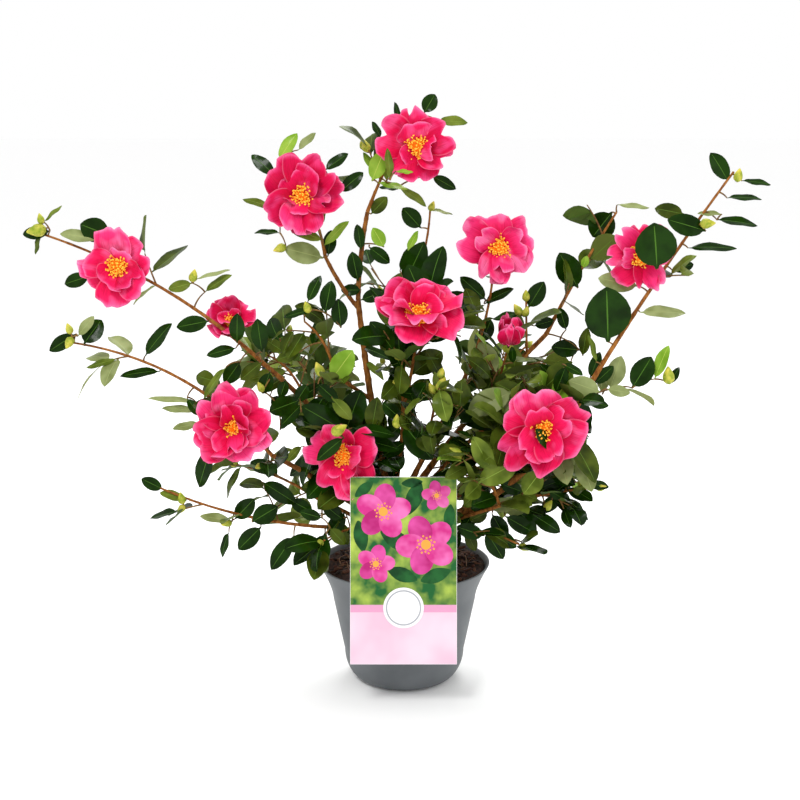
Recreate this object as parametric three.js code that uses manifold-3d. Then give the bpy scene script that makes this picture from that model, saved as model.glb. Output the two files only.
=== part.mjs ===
// Camellia shrub in a grower's pot, with a label card hung over the rim.
// Millimetres, +Z up. The pot stands on z = 0 and its axis is the Z axis; -Y is the card's side.
// A short trunk rises from the soil. Boughs leave it, and each bough carries a mass of foliage:
// twigs that branch by a seeded rule from one stem, with leaves and blooms fused on.

import * as THREE from 'three';
import { mergeVertices } from 'three/addons/utils/BufferGeometryUtils.js';
import Module from 'manifold-3d';

const wasm = await Module();
wasm.setup();

// ---------------------------------------------------------------- driving dimensions

const gap = 0.3; // clearance where one piece meets another

const pot = {
  height: 120,
  rimRadius: 85,
  shoulderHeight: 84,
  shoulderRadius: 71,
  cornerHeight: 30, // the rounded edge of the base ends here
  cornerRadius: 60,
  baseRadius: 40, // flat underside
  wall: 2.2,
  flarePower: 1.5,
  sides: 30,
  soilSides: 15,
  cornerSteps: 4,
  flareSteps: 4,
};
const soilTop = pot.height - 10;

const card = { width: 100, length: 175.5, aboveRim: 105.5, thickness: 0.8, lean: 12, centre: -1 };
const tongue = { width: 24, thickness: 0.8, rise: 14, reach: 4.5, slope: 5.5 };

const trunk = {
  start: [-4, 0], turn: 160, lift: 82, length: 60, foot: 8.5, tip: 6, flare: 4.5, flareLength: 7,
  sides: 10, steps: 6,
};
const boughSides = 5;

// Boughs: name, what carries it, where along that (0 to 1), turn and lift in degrees, length,
// bow (up) and sway (sideways) in the middle, radius at the foot and at the tip.
const boughRows = [
  ['leader', 'trunk', 1, 171, 81, 213, 0, 14, 4.2, 2.9],
  ['leader_top', 'leader', 1, 24, 83, 85, 2, 0, 2.8, 2.3],
  ['upper_left', 'leader', 0.96, -170, 58, 61, -2, 0, 2.4, 2],
  ['left_high', 'trunk', 0.78, -170, 53, 205, 10, -4, 3.8, 2.5],
  ['left_mid', 'trunk', 0.5, -161, 38, 159, 6, 0, 3.6, 2.4],
  ['left_low', 'trunk', 0.28, -154, 27, 82, 6, 0, 2.9, 2.2],
  ['inner_left', 'leader', 0.55, -150, 36, 50, 0, 0, 2.3, 1.8],
  ['centre', 'trunk', 0.97, -67, 74, 122, 0, 0, 3, 2.3],
  ['high_thin', 'centre', 0.75, 83, 78, 125, 4, 0, 2, 1.6],
  ['right_top', 'trunk', 0.98, 10, 62, 166, 0, -6, 3.2, 2.2],
  ['right_inner', 'trunk', 0.88, 9, 50, 237, 8, -6, 3.6, 2.5],
  ['bud_pair', 'right_inner', 0.8, -55, 44, 29, 0, 0, 1.7, 1.4],
  ['right_high', 'trunk', 0.6, -23, 40, 246, -26, -6, 4, 3],
  ['right_front', 'trunk', 0.42, -23, 37, 149, 8, 0, 2.9, 2.1],
  ['right_low', 'trunk', 0.26, -20, 31, 105, 8, 0, 2.9, 2.2],
  ['front_right', 'right_low', 0.6, -48, 24, 79, 0, 0, 2.2, 1.8],
  ['front_left', 'trunk', 0.55, -127, 53, 78, 8, 0, 2.7, 2.1],
  ['centre_front', 'trunk', 0.7, -58, 59, 106, 0, 0, 2.5, 1.9],
  ['centre_right', 'trunk', 0.76, -9, 49, 140, 4, 0, 2.7, 2],
  ['left_inner', 'left_high', 0.52, 134, 32, 56, 0, 0, 2.4, 1.9],
  ['back_left', 'trunk', 0.7, 128, 42, 125, 8, 0, 3.4, 2.3],
  ['back_centre', 'trunk', 0.9, 84, 58, 130, 6, 6, 3.2, 2.3],
  ['back_right', 'trunk', 0.62, 44, 44, 130, 8, 0, 3.4, 2.3],
  ['back_low_left', 'trunk', 0.32, 152, 24, 95, 6, 0, 2.8, 2.1],
  ['back_low_right', 'trunk', 0.36, 18, 24, 95, 6, 0, 2.8, 2.1],
];

// Masses of foliage: name, what carries its stem, where along that, turn, lift, length, bow and
// sway of the stem, number of twigs, length of a twig, spacing of the leaves along the stem.
const massRows = [
  ['top', 'leader_top', 1, -13, 65, 64, 0, -6, 5, 46, 20],
  ['upper_left', 'upper_left', 1, -171, 70, 79, 4, 0, 5, 46, 22],
  ['left_high', 'left_high', 1, -173, 32, 245, 14, 0, 7, 34, 26],
  ['left_mid', 'left_mid', 1, -180, 30, 219, 22, 0, 6, 38, 26],
  ['left_low', 'left_low', 1, -175, 15, 167, -8, 0, 6, 40, 26],
  ['inner_left', 'inner_left', 1, -156, 61, 59, 6, 0, 5, 50, 24],
  ['left_inner', 'left_inner', 1, 143, 39, 63, 8, 0, 6, 54, 24],
  ['centre', 'centre', 1, -69, 68, 95, 0, 0, 6, 48, 24],
  ['high_thin', 'high_thin', 1, 32, 73, 94, -6, 0, 3, 30, 26],
  ['right_top', 'right_top', 1, -6, 78, 104, -4, 0, 6, 46, 26],
  ['right_inner', 'right_inner', 1, 3, 61, 136, 2, 0, 6, 46, 26],
  ['bud_pair', 'bud_pair', 1, -110, 83, 50, 0, 0, 4, 38, 20],
  ['right_high', 'right_high', 1, 5, 57, 240, 2, 4, 8, 40, 26],
  ['right_front', 'right_front', 1, -39, 61, 79, 6, 0, 6, 52, 24],
  ['right_low', 'right_low', 1, -5, 14, 108, 4, 0, 6, 46, 24],
  ['front_right', 'front_right', 1, -141, 65, 67, 0, 0, 5, 46, 22],
  ['front_left', 'front_left', 1, -163, 63, 60, 4, 0, 6, 44, 22],
  ['under_right', 'trunk', 0.2, -26, 14, 132, 22, 0, 6, 42, 24],
  ['under_left', 'trunk', 0.15, -139, 23, 104, 22, 0, 6, 42, 24],
  ['centre_front', 'centre_front', 1, -70, 64, 87, 0, 0, 6, 48, 22],
  ['centre_right', 'centre_right', 1, -47, 73, 83, 0, 0, 6, 48, 24],
  ['back_left', 'back_left', 1, 132, 40, 120, 8, 0, 8, 58, 28],
  ['back_centre', 'back_centre', 1, 95, 55, 120, 6, 0, 8, 58, 28],
  ['back_right', 'back_right', 1, 40, 40, 120, 8, 0, 8, 58, 28],
  ['back_low_left', 'back_low_left', 1, 160, 18, 100, 6, 0, 6, 50, 26],
  ['back_low_right', 'back_low_right', 1, 12, 18, 100, 6, 0, 6, 50, 26],
];

// Blooms: mass, where along its stem, turn, lift and length of the stalk, turn and lift of the
// way the bloom looks, width, depth of the cup as a share of the width.
const bloomRows = [
  ['top', 1, -43, 6, 27, -95, 10, 74, 0.14],
  ['upper_left', 0.8, -91, -5, 21, -88, 5, 75, 0.14],
  ['left_high', 0.68, -75, 1, 23, -105, 5, 71, 0.14],
  ['left_high', 0.23, 78, 16, 19, -100, 40, 52, 0.3],
  ['left_mid', 0.2, -91, -1, 29, -90, 10, 78, 0.16],
  ['centre', 1, -94, 12, 17, -90, 40, 80, 0.2],
  ['right_top', 1, -84, 46, 20, -85, 10, 75, 0.12],
  ['right_high', 0.55, 169, 34, 25, -100, 0, 67, 0.14],
  ['right_front', 0.95, -103, -25, 31, -90, 5, 89, 0.12],
  ['front_left', 0.7, -125, -25, 8, -95, 0, 74, 0.13],
  ['centre_right', 1, -92, 30, 7, -90, 65, 34, 0.7],
];

const leaf = { length: 48, width: 28, widest: 0.46, crease: 1.2, keel: 1, droop: 3 };
const twigRadius = { foot: 0.9, tip: 0.8 };
const stemRadius = { foot: 2.1, tip: 1.4 };
const bloomForm = { petals: 6, notch: 0.15, thickness: 3, bossRadius: 0.24, bossHeight: 0.16, offCentre: 0.16 };
const stalkRadius = 1.3;

// Growing. Angles are in degrees; a range is the lowest and highest value that the rule draws.
const seeds = { first: 211, step: 37 };
const goldenAngle = 137.5;
const tries = 9; // ways that a twig or leaf is turned before its place stays empty
const twigRule = {
  angle: [38, 62], // from its stem
  upward: 0.12, // how far it turns to the light
  length: [0.8, 1.1], // share of the mass's twig length
  shorterAtTip: 0.3,
  shorterPerTry: 0.09,
  rollPerTry: 67,
  firstOnStem: 0.12,
  lastOnStem: 0.95,
};
const leafRule = {
  pitch: 16, // along a twig
  sideAngle: 55,
  endAngle: 14,
  angleSpread: 8,
  roll: 50, // either way about its length
  length: [0.85, 1.1],
  shorterPerTry: 0.05,
  rollPerTry: 53,
  firstOnTwig: 0.3,
  lastOnTwig: 0.9,
};
const spaceMargin = 1; // how much nearer to its own stem than to another a point lies
const limbMargin = 1.5;
const potMargin = 4;
const lowestLeaf = 20; // height above the ground
const bloomView = { turn: -90, lift: 12, behind: 8, share: 0.42 }; // kept open in front of a bloom

const colours = {
  bark: '#8a6040', leaf: '#2f4a26', pot: '#96989a', soil: '#3b2219', card: '#f3d9e6', tongue: '#efe9e6',
};

// ---------------------------------------------------------------- small tools

function makeRandom(seed) {
  let state = seed >>> 0;
  return (low, high) => {
    state = (Math.imul(state, 1664525) + 1013904223) >>> 0;
    return low + (high - low) * (state / 4294967296);
  };
}

// Unit vector from a turn about +Z, counted from +X, and a lift above the ground, in degrees.
function polar(turn, lift) {
  const a = THREE.MathUtils.degToRad(turn);
  const e = THREE.MathUtils.degToRad(lift);
  return new THREE.Vector3(Math.cos(e) * Math.cos(a), Math.cos(e) * Math.sin(a), Math.sin(e));
}

function turnOf(direction) {
  return THREE.MathUtils.radToDeg(Math.atan2(direction.y, direction.x));
}

function liftOf(direction) {
  return THREE.MathUtils.radToDeg(Math.asin(THREE.MathUtils.clamp(direction.z, -1, 1)));
}

// A closed geometry as a solid, with its shared points merged and its flat triangles dropped.
function toSolid(geometry) {
  const bare = new THREE.BufferGeometry();
  bare.setAttribute('position', geometry.attributes.position);
  if (geometry.index) bare.setIndex(geometry.index);
  const merged = mergeVertices(bare, 1e-4);
  const index = merged.index.array;
  const triangles = [];
  for (let i = 0; i < index.length; i += 3) {
    const [a, b, c] = [index[i], index[i + 1], index[i + 2]];
    if (a !== b && b !== c && c !== a) triangles.push(a, b, c);
  }
  const mesh = new wasm.Mesh({
    numProp: 3,
    vertProperties: new Float32Array(merged.attributes.position.array),
    triVerts: new Uint32Array(triangles),
  });
  mesh.merge();
  return new wasm.Manifold(mesh);
}

function toGeometry(solid) {
  const mesh = solid.getMesh();
  const geometry = new THREE.BufferGeometry();
  geometry.setAttribute('position', new THREE.BufferAttribute(mesh.vertProperties, 3));
  geometry.setIndex(new THREE.BufferAttribute(mesh.triVerts, 1));
  geometry.computeVertexNormals();
  return geometry;
}

function largestPiece(solid) {
  return solid.decompose().reduce((best, piece) => (piece.volume() > best.volume() ? piece : best));
}

function boxesMeet(a, b) {
  return [0, 1, 2].every((axis) => a.min[axis] <= b.max[axis] && b.min[axis] <= a.max[axis]);
}

function solidsMeet(a, b) {
  return boxesMeet(a.boundingBox(), b.boundingBox()) && !a.intersect(b).isEmpty();
}

// ---------------------------------------------------------------- pot, soil and card

// Outer face of the pot from the flat base to the rim, set in by a distance.
function potFace(inset, top) {
  const points = [];
  for (let i = 0; i <= pot.cornerSteps; i++) {
    const a = (i / pot.cornerSteps) * (Math.PI / 2);
    const radius = pot.baseRadius + (pot.cornerRadius - pot.baseRadius) * Math.sin(a);
    const height = pot.cornerHeight * (1 - Math.cos(a));
    points.push(new THREE.Vector2(radius - inset * Math.sin(a), height + inset * Math.cos(a)));
  }
  const flareRadius = (height) => {
    const share = (height - pot.shoulderHeight) / (pot.height - pot.shoulderHeight);
    return pot.shoulderRadius + (pot.rimRadius - pot.shoulderRadius) * share ** pot.flarePower;
  };
  for (let i = 0; i <= pot.flareSteps; i++) {
    const height = pot.shoulderHeight + (i / pot.flareSteps) * (pot.height - pot.shoulderHeight);
    if (height < top) points.push(new THREE.Vector2(flareRadius(height) - inset, height));
  }
  points.push(new THREE.Vector2(flareRadius(top) - inset, top));
  return points;
}

function turned(profile, sides) {
  return toSolid(new THREE.LatheGeometry(profile, sides).rotateX(Math.PI / 2));
}

function makePot() {
  const outer = potFace(0, pot.height);
  const inner = potFace(pot.wall, pot.height).reverse();
  const profile = [new THREE.Vector2(0, 0), ...outer, ...inner, new THREE.Vector2(0, pot.wall)];
  return turned(profile, pot.sides);
}

function makeSoil() {
  const inset = pot.wall + gap;
  const profile = [new THREE.Vector2(0, inset), ...potFace(inset, soilTop), new THREE.Vector2(0, soilTop)];
  return turned(profile, pot.soilSides);
}

// The card's back face touches the rim's outside at this distance in front of the pot's axis.
const cardBack = pot.rimRadius + gap;
const leanSlope = Math.tan(THREE.MathUtils.degToRad(card.lean));

function makeCard() {
  const geometry = new THREE.BoxGeometry(card.width, card.thickness, card.length);
  geometry.translate(card.centre, -card.thickness / 2, card.aboveRim - card.length / 2);
  geometry.rotateX(-THREE.MathUtils.degToRad(card.lean));
  geometry.translate(0, -cardBack, pot.height);
  return toSolid(geometry);
}

// A strip that leaves the card's back above the rim, passes over the rim and bends down inside.
function makeTongue() {
  const top = pot.height + tongue.rise;
  const cardFace = -cardBack + tongue.rise * leanSlope + gap * 2;
  const bend = -pot.rimRadius + tongue.reach;
  const foot = soilTop + gap;
  const outline = new THREE.Shape();
  outline.moveTo(cardFace, top);
  outline.lineTo(bend, pot.height + tongue.thickness);
  outline.lineTo(bend + tongue.slope, foot);
  outline.lineTo(bend + tongue.slope + tongue.thickness, foot);
  outline.lineTo(bend + tongue.thickness, pot.height + tongue.thickness * 2);
  outline.lineTo(cardFace + tongue.thickness, top + tongue.thickness);
  outline.closePath();
  const geometry = new THREE.ExtrudeGeometry(outline, { depth: tongue.width, bevelEnabled: false });
  // the outline's x is the part's y, its y is the part's z, and its depth runs along x
  const places = new THREE.Matrix4().makeBasis(
    new THREE.Vector3(0, 1, 0), new THREE.Vector3(0, 0, 1), new THREE.Vector3(1, 0, 0));
  geometry.applyMatrix4(places);
  geometry.translate(card.centre - tongue.width / 2, 0, 0);
  return toSolid(geometry);
}

// ---------------------------------------------------------------- stems

// A stem or limb: a straight run with an even bow, thick at its foot and thin at its tip.
function makeStem({ start, turn, lift, length, bow = 0, sway = 0, foot, tip, flare = 0 }) {
  const along = polar(turn, lift);
  const rise = polar(turn, lift + 90);
  const side = polar(turn + 90, 0);
  const bend = rise.clone().multiplyScalar(bow).addScaledVector(side, sway);
  return {
    along,
    side,
    front: along.clone().cross(side),
    length,
    point: (t) => start.clone().addScaledVector(along, length * t).addScaledVector(bend, 4 * t * (1 - t)),
    tangent: (t) => along.clone().multiplyScalar(length).addScaledVector(bend, 4 - 8 * t).normalize(),
    radius: (t) => THREE.MathUtils.lerp(foot, tip, t) + flare * Math.exp((-t * length) / trunk.flareLength),
  };
}

// A closed tube along a stem, with its sides and both ends moved out by a pad.
function tube(stem, sides, steps, pad = 0) {
  const corners = Array.from({ length: sides }, (_, i) => {
    const a = (i / sides) * Math.PI * 2;
    return new THREE.Vector2(Math.cos(a), Math.sin(a));
  });
  const geometry = new THREE.ExtrudeGeometry(
    new THREE.Shape(corners), { depth: 1, steps, bevelEnabled: false });
  const position = geometry.attributes.position;
  for (let i = 0; i < position.count; i++) {
    const t = position.getZ(i);
    const reach = stem.radius(t) + pad;
    const place = stem.point(t)
      .addScaledVector(stem.side, position.getX(i) * reach)
      .addScaledVector(stem.front, position.getY(i) * reach)
      .addScaledVector(stem.along, (2 * t - 1) * pad);
    position.setXYZ(i, place.x, place.y, place.z);
  }
  return toSolid(geometry);
}

// The direction that leaves a stem at an angle to it, on the side given by a roll about it.
function leaving(stem, t, roll, angle) {
  const a = THREE.MathUtils.degToRad(angle);
  const r = THREE.MathUtils.degToRad(roll);
  const outward = stem.side.clone().multiplyScalar(Math.cos(r)).addScaledVector(stem.front, Math.sin(r));
  return stem.tangent(t).multiplyScalar(Math.cos(a)).addScaledVector(outward, Math.sin(a)).normalize();
}

function linePoints(stem, steps) {
  return Array.from({ length: steps + 1 }, (_, i) => stem.point(i / steps));
}

function distanceToLine(point, line) {
  const segment = new THREE.Line3();
  const nearest = new THREE.Vector3();
  let best = Infinity;
  for (let i = 0; i + 1 < line.length; i++) {
    segment.set(line[i], line[i + 1]).closestPointToPoint(point, true, nearest);
    best = Math.min(best, nearest.distanceTo(point));
  }
  return best;
}

// ---------------------------------------------------------------- trunk and boughs

const stems = new Map();
const limbSolids = new Map();
const fatLimbs = [];
const limbLines = [];

const trunkStart = new THREE.Vector3(trunk.start[0], trunk.start[1], soilTop + gap);
const trunkStem = makeStem({ ...trunk, start: trunkStart });

function makeTrunk() {
  const sunk = makeStem({ ...trunk, start: trunkStart.clone().addScaledVector(trunkStem.along, -2 * gap) });
  const below = new THREE.BoxGeometry(pot.rimRadius, pot.rimRadius, pot.height);
  below.translate(0, 0, soilTop + gap - pot.height / 2);
  return tube(sunk, trunk.sides, trunk.steps, gap).subtract(toSolid(below));
}

// What is left of a solid 0.3 mm clear of the trunk and of every bough made so far.
function cutByLimbs(solid) {
  return fatLimbs.reduce((whole, fat) => whole.subtract(fat), solid);
}

function addLimb(name, stem, solid, sides, steps) {
  stems.set(name, stem);
  limbSolids.set(name, solid);
  fatLimbs.push(tube(stem, sides, steps, gap));
  limbLines.push({ line: linePoints(stem, 6), radius: stem.radius(0.5) });
}

addLimb('trunk', trunkStem, makeTrunk(), trunk.sides, trunk.steps);
for (const [name, from, at, turn, lift, length, bow, sway, foot, tip] of boughRows) {
  const stem = makeStem({ start: stems.get(from).point(at), turn, lift, length, bow, sway, foot, tip });
  const steps = Math.abs(bow) + Math.abs(sway) > 5 ? 4 : 2;
  const solid = largestPiece(cutByLimbs(tube(stem, boughSides, steps)));
  addLimb(name, stem, solid, boughSides, steps);
}

// ---------------------------------------------------------------- leaves and blooms

// A blade with a keel below its midrib, of six faces, and the points by which its place is judged.
function makeLeaf(root, along, face, length) {
  const across = along.clone().cross(face);
  const width = leaf.width * (length / leaf.length);
  const place = (run, aside, lift) => root.clone().addScaledVector(along, run * length)
    .addScaledVector(across, (aside * width) / 2).addScaledVector(face, lift);
  const tip = place(1, 0, -leaf.droop);
  const edges = [place(leaf.widest, -1, leaf.crease), place(leaf.widest, 1, leaf.crease)];
  const keel = place(leaf.widest, 0, -leaf.keel);
  const geometry = new THREE.SphereGeometry(1, 3, 2); // two poles and a ring of three points
  const position = geometry.attributes.position;
  for (let i = 0; i < position.count; i++) {
    const [x, y, z] = [position.getX(i), position.getY(i), position.getZ(i)];
    const ring = x < 0 ? keel : edges[z > 0 ? 0 : 1];
    const to = [root, ring, tip][Math.round(y) + 1];
    position.setXYZ(i, to.x, to.y, to.z);
  }
  const samples = [place(0.25, 0, 0), place(0.5, 0, 0), place(0.75, 0, 0), tip, ...edges];
  return { geometry, samples };
}

// The upper side of a leaf looks up, rolled by an angle about its length.
function leafFace(along, roll) {
  const sky = new THREE.Vector3(0, 0, 1).addScaledVector(along, -along.z);
  if (sky.length() < 0.2) sky.set(0, -1, 0).addScaledVector(along, along.y);
  return sky.normalize().applyAxisAngle(along, THREE.MathUtils.degToRad(roll));
}

// A bloom is a shallow dish with scalloped petals and a boss of stamens in its middle. It sits a
// little to one side of its stalk's end.
function makeBloom(bloom) {
  const radius = bloom.width / 2;
  const depth = bloom.width * bloom.cup;
  const half = bloomForm.thickness / 2;
  const profile = [
    [0, -half], [radius / 2, depth / 4 - half], [radius, depth], [radius / 2, depth / 4 + half / 2],
    [radius * bloomForm.bossRadius, bloom.width * bloomForm.bossHeight],
    [0, bloom.width * bloomForm.bossHeight],
  ];
  const dish = new THREE.LatheGeometry(
    profile.map(([r, h]) => new THREE.Vector2(r, h)), bloomForm.petals * 2).rotateX(Math.PI / 2);
  const position = dish.attributes.position;
  for (let i = 0; i < position.count; i++) {
    const [x, y] = [position.getX(i), position.getY(i)];
    const outward = Math.hypot(x, y) / radius;
    const between = 0.5 - 0.5 * Math.cos(bloomForm.petals * Math.atan2(y, x));
    const shrink = 1 - bloomForm.notch * between * outward ** 2;
    position.setXY(i, x * shrink, y * shrink);
  }
  const right = polar(turnOf(bloom.face) + 90, 0);
  const rise = bloom.face.clone().cross(right);
  const middle = bloom.centre.clone().addScaledVector(right, radius * bloomForm.offCentre);
  return toSolid(dish.applyMatrix4(new THREE.Matrix4().makeBasis(right, rise, bloom.face).setPosition(middle)));
}

// ---------------------------------------------------------------- masses of foliage

const masses = massRows.map(([name, from, at, turn, lift, length, bow, sway, twigs, spread, step]) => {
  const stem = makeStem({ start: stems.get(from).point(at), turn, lift, length, bow, sway, ...stemRadius });
  return { name, stem, twigs, spread, step, blooms: [], lines: [linePoints(stem, 6)] };
});

for (const [name, at, turn, lift, length, faceTurn, faceLift, width, cup] of bloomRows) {
  const mass = masses.find((candidate) => candidate.name === name);
  const stalk = makeStem({
    start: mass.stem.point(at), turn, lift, length, foot: stalkRadius, tip: stalkRadius,
  });
  mass.blooms.push({ stalk, centre: stalk.point(1), face: polar(faceTurn, faceLift), width, cup });
  mass.lines.push([stalk.point(0), stalk.point(1)]);
}
const allBlooms = masses.flatMap((mass) => mass.blooms);

for (const mass of masses) {
  const steps = mass.stem.length > 150 ? 5 : 2;
  const core = [tube(mass.stem, 4, steps)];
  for (const bloom of mass.blooms) core.push(tube(bloom.stalk, 3, 1), makeBloom(bloom));
  mass.solid = largestPiece(cutByLimbs(wasm.Manifold.union(core)));
}

// How far a point is from a mass's stem, stalks and blooms.
function distanceToMass(point, mass) {
  const toLines = mass.lines.map((line) => distanceToLine(point, line));
  const toBlooms = mass.blooms.map((bloom) => bloom.centre.distanceTo(point) - bloom.width / 2);
  return Math.min(...toLines, ...toBlooms);
}

function inOwnSpace(point, mass) {
  const own = distanceToMass(point, mass) + spaceMargin;
  return masses.every((other) => other === mass || distanceToMass(point, other) > own);
}

function clearOfLimbs(point) {
  return limbLines.every(({ line, radius }) => distanceToLine(point, line) > radius + limbMargin);
}

// Clear of the pot, and of the card and what is in front of it.
function clearOfPot(point) {
  const fromAxis = Math.hypot(point.x, point.y);
  const offPot = point.z > pot.height + potMargin || fromAxis > pot.rimRadius + potMargin;
  const beside = Math.abs(point.x - card.centre) > card.width / 2 + potMargin;
  const behind = point.y > -cardBack + (point.z - pot.height) * leanSlope + potMargin;
  const above = point.z > pot.height + card.aboveRim + potMargin;
  return offPot && point.z > lowestLeaf && (beside || behind || above);
}

const viewWay = polar(bloomView.turn, bloomView.lift);

// Not in a bloom nor in front of it.
function clearOfBlooms(point) {
  return allBlooms.every((bloom) => {
    const offset = point.clone().sub(bloom.centre);
    const forward = offset.dot(viewWay);
    const aside = offset.addScaledVector(viewWay, -forward).length();
    return forward < -bloomView.behind || aside > bloom.width * bloomView.share;
  });
}

function isFree(samples, mass) {
  return samples.every((point) => clearOfPot(point) && clearOfBlooms(point) && clearOfLimbs(point)
    && inOwnSpace(point, mass));
}

const fixedSolids = [makePot(), makeSoil(), makeCard(), makeTongue()];

function touchesOthers(solid, mass, ownParts) {
  return ownParts.some((part) => solidsMeet(solid, part))
    || fatLimbs.some((fat) => solidsMeet(solid, fat))
    || fixedSolids.some((fixed) => solidsMeet(solid, fixed))
    || masses.some((other) => other !== mass && solidsMeet(solid, other.solid));
}

// A leaf at one place on a stem: each try turns it further round the stem. It crosses nothing
// but the stem that carries it.
function addLeaf(mass, parts, stem, t, roll, angle, random) {
  const length = leaf.length * random(...leafRule.length);
  for (let attempt = 0; attempt < tries; attempt++) {
    const tilt = angle + random(-leafRule.angleSpread, leafRule.angleSpread);
    const along = leaving(stem, t, roll + attempt * leafRule.rollPerTry, tilt);
    const root = stem.point(t).addScaledVector(along, -stem.radius(t) / 2);
    const face = leafFace(along, random(-leafRule.roll, leafRule.roll));
    const { geometry, samples } = makeLeaf(root, along, face, length * (1 - attempt * leafRule.shorterPerTry));
    if (!isFree(samples, mass)) continue;
    const solid = toSolid(geometry);
    const crossed = [mass.solid, ...parts].filter((part) => part !== stem.solid);
    if (touchesOthers(solid, mass, crossed)) continue;
    parts.push(solid);
    return;
  }
}

function makeTwig(mass, t, roll, attempt, random) {
  const heading = leaving(mass.stem, t, roll + attempt * twigRule.rollPerTry, random(...twigRule.angle));
  heading.z += twigRule.upward;
  heading.normalize();
  const share = (1 - twigRule.shorterAtTip * t) * (1 - attempt * twigRule.shorterPerTry);
  const length = mass.spread * share * random(...twigRule.length);
  const start = mass.stem.point(t);
  return makeStem({ start, turn: turnOf(heading), lift: liftOf(heading), length, ...twigRadius });
}

// A twig with leaves in a spiral and one at its end. A twig that can carry no leaf is left off.
function addTwig(mass, parts, t, roll, random) {
  for (let attempt = 0; attempt < tries; attempt++) {
    const twig = makeTwig(mass, t, roll, attempt, random);
    if (!isFree([0.4, 0.7, 1].map(twig.point), mass)) continue;
    twig.solid = tube(twig, 3, 1);
    if (touchesOthers(twig.solid, mass, parts)) continue;
    const before = parts.push(twig.solid);
    const run = leafRule.lastOnTwig - leafRule.firstOnTwig;
    const count = Math.max(1, Math.round((twig.length * run) / leafRule.pitch));
    const firstRoll = random(0, 360);
    for (let k = 0; k < count; k++) {
      const place = leafRule.firstOnTwig + (run * (k + 0.5)) / count;
      addLeaf(mass, parts, twig, place, firstRoll + k * goldenAngle, leafRule.sideAngle, random);
    }
    addLeaf(mass, parts, twig, twigRule.lastOnStem, firstRoll, leafRule.endAngle, random);
    if (parts.length === before) parts.pop();
    return;
  }
}

function growMass(mass, index) {
  const random = makeRandom(seeds.first + index * seeds.step);
  const parts = [];
  mass.stem.solid = mass.solid;
  const firstRoll = random(0, 360);
  const run = twigRule.lastOnStem - twigRule.firstOnStem;
  for (let j = 0; j < mass.twigs; j++) {
    const t = twigRule.firstOnStem + (run * (j + 0.5)) / mass.twigs;
    addTwig(mass, parts, t, firstRoll + j * goldenAngle, random);
  }
  const leaves = Math.floor((mass.stem.length * run) / mass.step);
  for (let j = 0; j < leaves; j++) {
    const t = twigRule.firstOnStem + (run * (j + 0.5)) / leaves;
    addLeaf(mass, parts, mass.stem, t, firstRoll + 180 + j * goldenAngle, leafRule.sideAngle, random);
  }
  const bloomAtTip = mass.blooms.some((bloom) => bloom.stalk.point(0).distanceTo(mass.stem.point(1)) < 1);
  if (!bloomAtTip) addLeaf(mass, parts, mass.stem, twigRule.lastOnStem, firstRoll, leafRule.endAngle, random);
  mass.solid = largestPiece(wasm.Manifold.union([mass.solid, ...parts]));
}

masses.forEach(growMass);

// ---------------------------------------------------------------- the assembly

const materials = {
  bark: new THREE.MeshStandardMaterial({ color: colours.bark, roughness: 0.85, metalness: 0 }),
  leaf: new THREE.MeshStandardMaterial({ color: colours.leaf, roughness: 0.4, metalness: 0 }),
  pot: new THREE.MeshStandardMaterial({ color: colours.pot, roughness: 0.6, metalness: 0 }),
  soil: new THREE.MeshStandardMaterial({ color: colours.soil, roughness: 1, metalness: 0 }),
  card: new THREE.MeshStandardMaterial({ color: colours.card, roughness: 0.45, metalness: 0 }),
  tongue: new THREE.MeshStandardMaterial({ color: colours.tongue, roughness: 0.5, metalness: 0 }),
};

const group = new THREE.Group();

function addNode(name, solid, material) {
  const mesh = new THREE.Mesh(toGeometry(solid), material);
  mesh.name = name;
  group.add(mesh);
}

const [potSolid, soilSolid, cardSolid, tongueSolid] = fixedSolids;
addNode('pot', potSolid, materials.pot);
addNode('soil', soilSolid, materials.soil);
addNode('label_card', cardSolid, materials.card);
addNode('label_tongue', tongueSolid, materials.tongue);
for (const [name, solid] of limbSolids) {
  addNode(name === 'trunk' ? name : `bough_${name}`, solid, materials.bark);
}
for (const mass of masses) addNode(`foliage_${mass.name}`, mass.solid, materials.leaf);

export default group;
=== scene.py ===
import math

import bmesh
import bpy
import numpy as np
from mathutils import Matrix, Vector, noise


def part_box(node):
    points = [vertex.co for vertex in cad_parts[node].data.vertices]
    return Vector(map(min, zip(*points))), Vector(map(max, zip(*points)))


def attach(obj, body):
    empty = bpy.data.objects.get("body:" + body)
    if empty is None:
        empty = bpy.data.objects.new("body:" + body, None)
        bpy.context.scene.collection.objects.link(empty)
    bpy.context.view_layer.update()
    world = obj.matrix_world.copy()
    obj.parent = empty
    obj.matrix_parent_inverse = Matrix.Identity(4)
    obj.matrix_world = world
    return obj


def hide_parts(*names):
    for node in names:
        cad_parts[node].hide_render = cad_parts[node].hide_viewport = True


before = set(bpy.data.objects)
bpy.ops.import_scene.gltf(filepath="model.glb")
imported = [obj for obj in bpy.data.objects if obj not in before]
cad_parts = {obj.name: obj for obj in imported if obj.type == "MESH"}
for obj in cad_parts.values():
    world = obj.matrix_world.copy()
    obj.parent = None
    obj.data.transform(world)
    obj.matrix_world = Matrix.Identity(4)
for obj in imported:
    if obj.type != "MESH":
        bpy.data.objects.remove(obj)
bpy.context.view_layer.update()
print("frame loaded with", len(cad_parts), "nodes")

# Metres. The pot's axis is Z, and the card hangs on its -Y side.

gap = 0.0003  # between one piece and the next

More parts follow.
